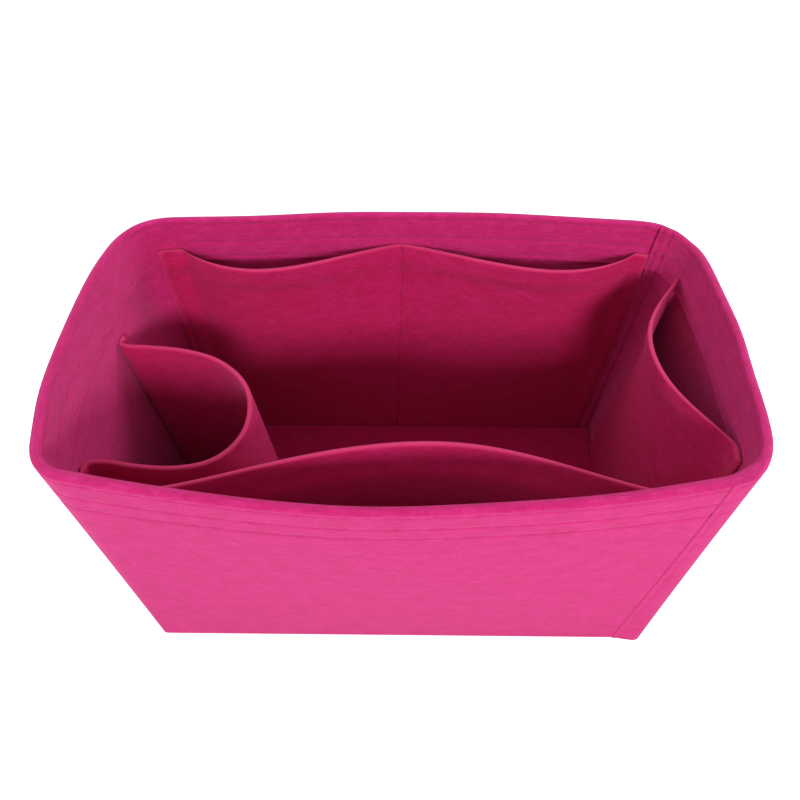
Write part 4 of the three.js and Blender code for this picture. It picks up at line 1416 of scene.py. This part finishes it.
def make_teeth(seat, side):
    count = math.floor(seat["length"] / TOOTH_PITCH) - 1
    first = -(count - 1) * TOOTH_PITCH / 2 + side * TOOTH_PITCH / 4
    tooth = make_tooth(side)
    places = [first + i * TOOTH_PITCH / 2 for i in range(2 * count - 1)]
    path = [(zip_point(seat, along, 0, TOOTH_FOOT), zip_out(seat, along)) for along in places]
    name = full_name(seat, "teeth", side) + "_moulded"
    run = lengths_along([point for point, out in path])[-1]
    teeth = repeat_along(name, [path], tooth, run / (count - 1) * PITCH_SLACK, unevenness=0, seed=1,
                         material=moulded)
    bead = make_bead(name + "_bead", seat, side)
    bead.data.materials.append(moulded)
    bpy.context.view_layer.objects.active = teeth
    with bpy.context.temp_override(active_object=teeth, selected_editable_objects=[teeth, bead]):
        bpy.ops.object.join()
    bpy.data.objects.remove(tooth)
    return teeth


teeth = {(seat["name"], side): make_teeth(seat, side) for seat in ZIPS for side in (1, -1)}

# %% [markdown]
# ## Metal pieces
# The sliders, links, tabs and stops have the right shape in the frame but sharp edges. A copy of each, with
# its doubles merged and its edges bevelled, or for the link smoothed by subdivision, catches the light as
# plated metal does.

# %% Metal
METAL_BEVEL = {"slider": 0.28 * MM, "pull_tab": 0.22 * MM, "pull_link": 0, "top_stop_upper": 0.25 * MM,
               "top_stop_lower": 0.25 * MM, "bottom_stop": 0.25 * MM}
BEVEL_SEGMENTS = 3
BEVEL_ANGLE = math.radians(35)
WELD_DISTANCE = 0.002 * MM
LINK_LEVELS = 2


def finer_copy(node, bevel, smooth_levels):
    piece = add_object(node + "_plated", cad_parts[node].data.copy())
    weld = piece.modifiers.new("weld", "WELD")
    weld.merge_threshold = WELD_DISTANCE
    if bevel:
        edge = piece.modifiers.new("bevel", "BEVEL")
        edge.width, edge.segments, edge.limit_method = bevel, BEVEL_SEGMENTS, "ANGLE"
        edge.angle_limit = BEVEL_ANGLE
        edge.use_clamp_overlap = True
    if smooth_levels:
        finer = piece.modifiers.new("finer", "SUBSURF")
        finer.levels = finer.render_levels = smooth_levels
    plain = frozen(piece).data
    plain.materials.clear()
    plain.materials.append(nickel)
    shade_smooth(plain)
    return piece_facts(piece)


metal_pieces = {}
for seat in ZIPS:
    for part, bevel in METAL_BEVEL.items():
        levels = LINK_LEVELS if part == "pull_link" else 0
        metal_pieces[(seat["name"], part)] = finer_copy(f"{seat['name']}_{part}", bevel, levels)

# %% [markdown]
# ## What each piece stands for
# Each fine sheet replaces its plain solid, rides on the same body and says the size it was cut to.

# %% Ride, replace and declare
WALLS = "organizer"
BODY_OF = {"slider": "slider", "pull_link": "link", "pull_tab": "tab"}
CUT_STEPS = 60


def cut_size(strip, point_at):
    """A pocket panel's length half way up it and its height in the middle, measured along the felt."""
    shares = [i / CUT_STEPS for i in range(CUT_STEPS + 1)]
    along = lengths_along([point_at(share * strip.length, POCKET_TALL / 2, 0) for share in shares])
    up = lengths_along([point_at(strip.length / 2, share * POCKET_TALL, 0) for share in shares])
    return along[-1], up[-1]


def declare_sheet(piece, node, flat, material=felt):
    piece.data.materials.append(material)
    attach(piece, WALLS)
    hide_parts(node)
    print(f"{piece.name}: cut {flat[0]:.3f} by {flat[1]:.3f} m")


declare_sheet(base, "base_panel", (base_width, base_depth), material=shaded_inner_felt)
declare_sheet(wall_wrap, "wall_wrap", (wrap_strip.length, HEIGHT))
declare_sheet(right_wall, "right_wall", (right_strip.length, HEIGHT))
declare_sheet(main_band, "rim_band_main", (main_band_strip.length, BAND_HEIGHT))
declare_sheet(right_band, "rim_band_right", (right_band_strip.length, BAND_HEIGHT))
for panel, node, strip, point_at, wall in (
        (front_pocket, "front_pocket_panel", front_pocket_strip, front_pocket_point, wall_wrap),
        (back_pocket, "back_pocket_panel", back_pocket_strip, back_pocket_point, wall_wrap),
        (right_pocket, "right_pocket_panel", right_pocket_strip, right_pocket_point, right_wall)):
    declare_sheet(panel, node, cut_size(strip, point_at), material=shaded_inner_felt)
declare_sheet(bottle_loop, "bottle_loop", (LOOP_LENGTH, LOOP_TALL),
              material=shaded_inner_felt)
for seat in ZIPS:
    patch = patches[seat["name"]]
    wide, tall = seat["patch_length"], seat["patch_height"]
    declare_sheet(patch, seat["name"] + "_patch", (wide, tall))
    for side in (1, -1):
        declare_sheet(tapes[(seat["name"], side)], full_name(seat, "tape", side),
                      (seat["length"] + 2 * TAPE_OVERRUN, TAPE_WIDTH),
                      material=tape_weave)
        row = teeth[(seat["name"], side)]
        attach(row, WALLS)
        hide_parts(full_name(seat, "teeth", side))
    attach(patch_stitches[seat["name"]], WALLS)
for piece in (rim_outside_stitches, rim_inside_stitches, lap_stitches, pocket_stitches):
    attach(piece, WALLS)
for (zip_name, part), piece in metal_pieces.items():
    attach(piece, f"{zip_name}_{BODY_OF[part]}" if part in BODY_OF else WALLS)
    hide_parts(f"{zip_name}_{part}")

# %% [markdown]
# ## Floor, light and background
# The floor is pale and keeps the object's soft shadow. It glows a little to the camera and to metal only, so
# it looks nearly white and still lights the felt no more than a pale table would.

# %% Floor
FLOOR_HALF = 4
FLOOR_COLOUR = (0.86, 0.86, 0.86, 1)
FLOOR_GLOW = 0.6
WHITE = (1, 1, 1, 1)


def where_seen(tree, strength):
    """The strength where the camera sees a surface, straight, in a reflection or through glass, or else 0."""
    path = tree.nodes.new("ShaderNodeLightPath").outputs
    seen = math_node(tree, "MAXIMUM", path["Is Camera Ray"], path["Is Glossy Ray"])
    seen = math_node(tree, "MAXIMUM", seen, path["Is Transmission Ray"])
    return math_node(tree, "MULTIPLY", seen, strength)


floor_mesh = bpy.data.meshes.new("floor")
floor_mesh.from_pydata([(x * FLOOR_HALF, y * FLOOR_HALF, 0) for x, y in ((-1, -1), (1, -1), (1, 1), (-1, 1))],
                       [], [(0, 1, 2, 3)])
floor = add_object("floor", floor_mesh)
floor_material, floor_tree = new_material("pale floor")
floor_mesh.materials.append(finish_material(floor_material, {
    "Base Color": FLOOR_COLOUR, "Roughness": 0.9,
    "Emission Color": WHITE, "Emission Strength": where_seen(floor_tree, FLOOR_GLOW)}))

# %% [markdown]
# Beyond the floor the world is white to the camera and to metal, and a plain soft grey to everything it
# lights. The key is a soft lamp in front and a little to the right, as the shadows inside the photographed
# box show. Two weaker fills stand at the left and at the back.

# %% World and lamps
WORLD_LIGHT = 0.6
LAMP_DISTANCE = 2.2
LAMPS = {
    "key": {"azimuth": 16, "height": 27, "size": 0.5, "watts": 34},
    "left fill": {"azimuth": -90, "height": 25, "size": 1, "watts": 11},
    "back fill": {"azimuth": 125, "height": 33, "size": 1, "watts": 18},
}

world = bpy.data.worlds.new("white surroundings")
bpy.context.scene.world = world
world.use_nodes = True
tree = world.node_tree
strength = math_node(tree, "ADD", where_seen(tree, 1 - WORLD_LIGHT), WORLD_LIGHT)
set_inputs(tree, tree.nodes["Background"], {"Color": WHITE, "Strength": strength})


def add_lamp(name, azimuth, height, size, watts):
    """A soft square lamp aimed at the object's middle. Azimuth 0 is in front, and 90 is at the right."""
    azimuth, height = math.radians(azimuth), math.radians(height)
    lamp = bpy.data.lights.new(name, "AREA")
    lamp.size, lamp.energy = size, watts
    holder = add_object(name, lamp)
    level = LAMP_DISTANCE * math.cos(height)
    holder.location = (level * math.sin(azimuth), -level * math.cos(azimuth),
                       LAMP_DISTANCE * math.sin(height) + HEIGHT)
    target = Vector((0, 0, HEIGHT / 2))
    holder.rotation_euler = (target - holder.location).to_track_quat("-Z", "Y").to_euler()


for name, lamp in LAMPS.items():
    add_lamp(name, **lamp)
bpy.context.scene.view_settings.view_transform = "Standard"
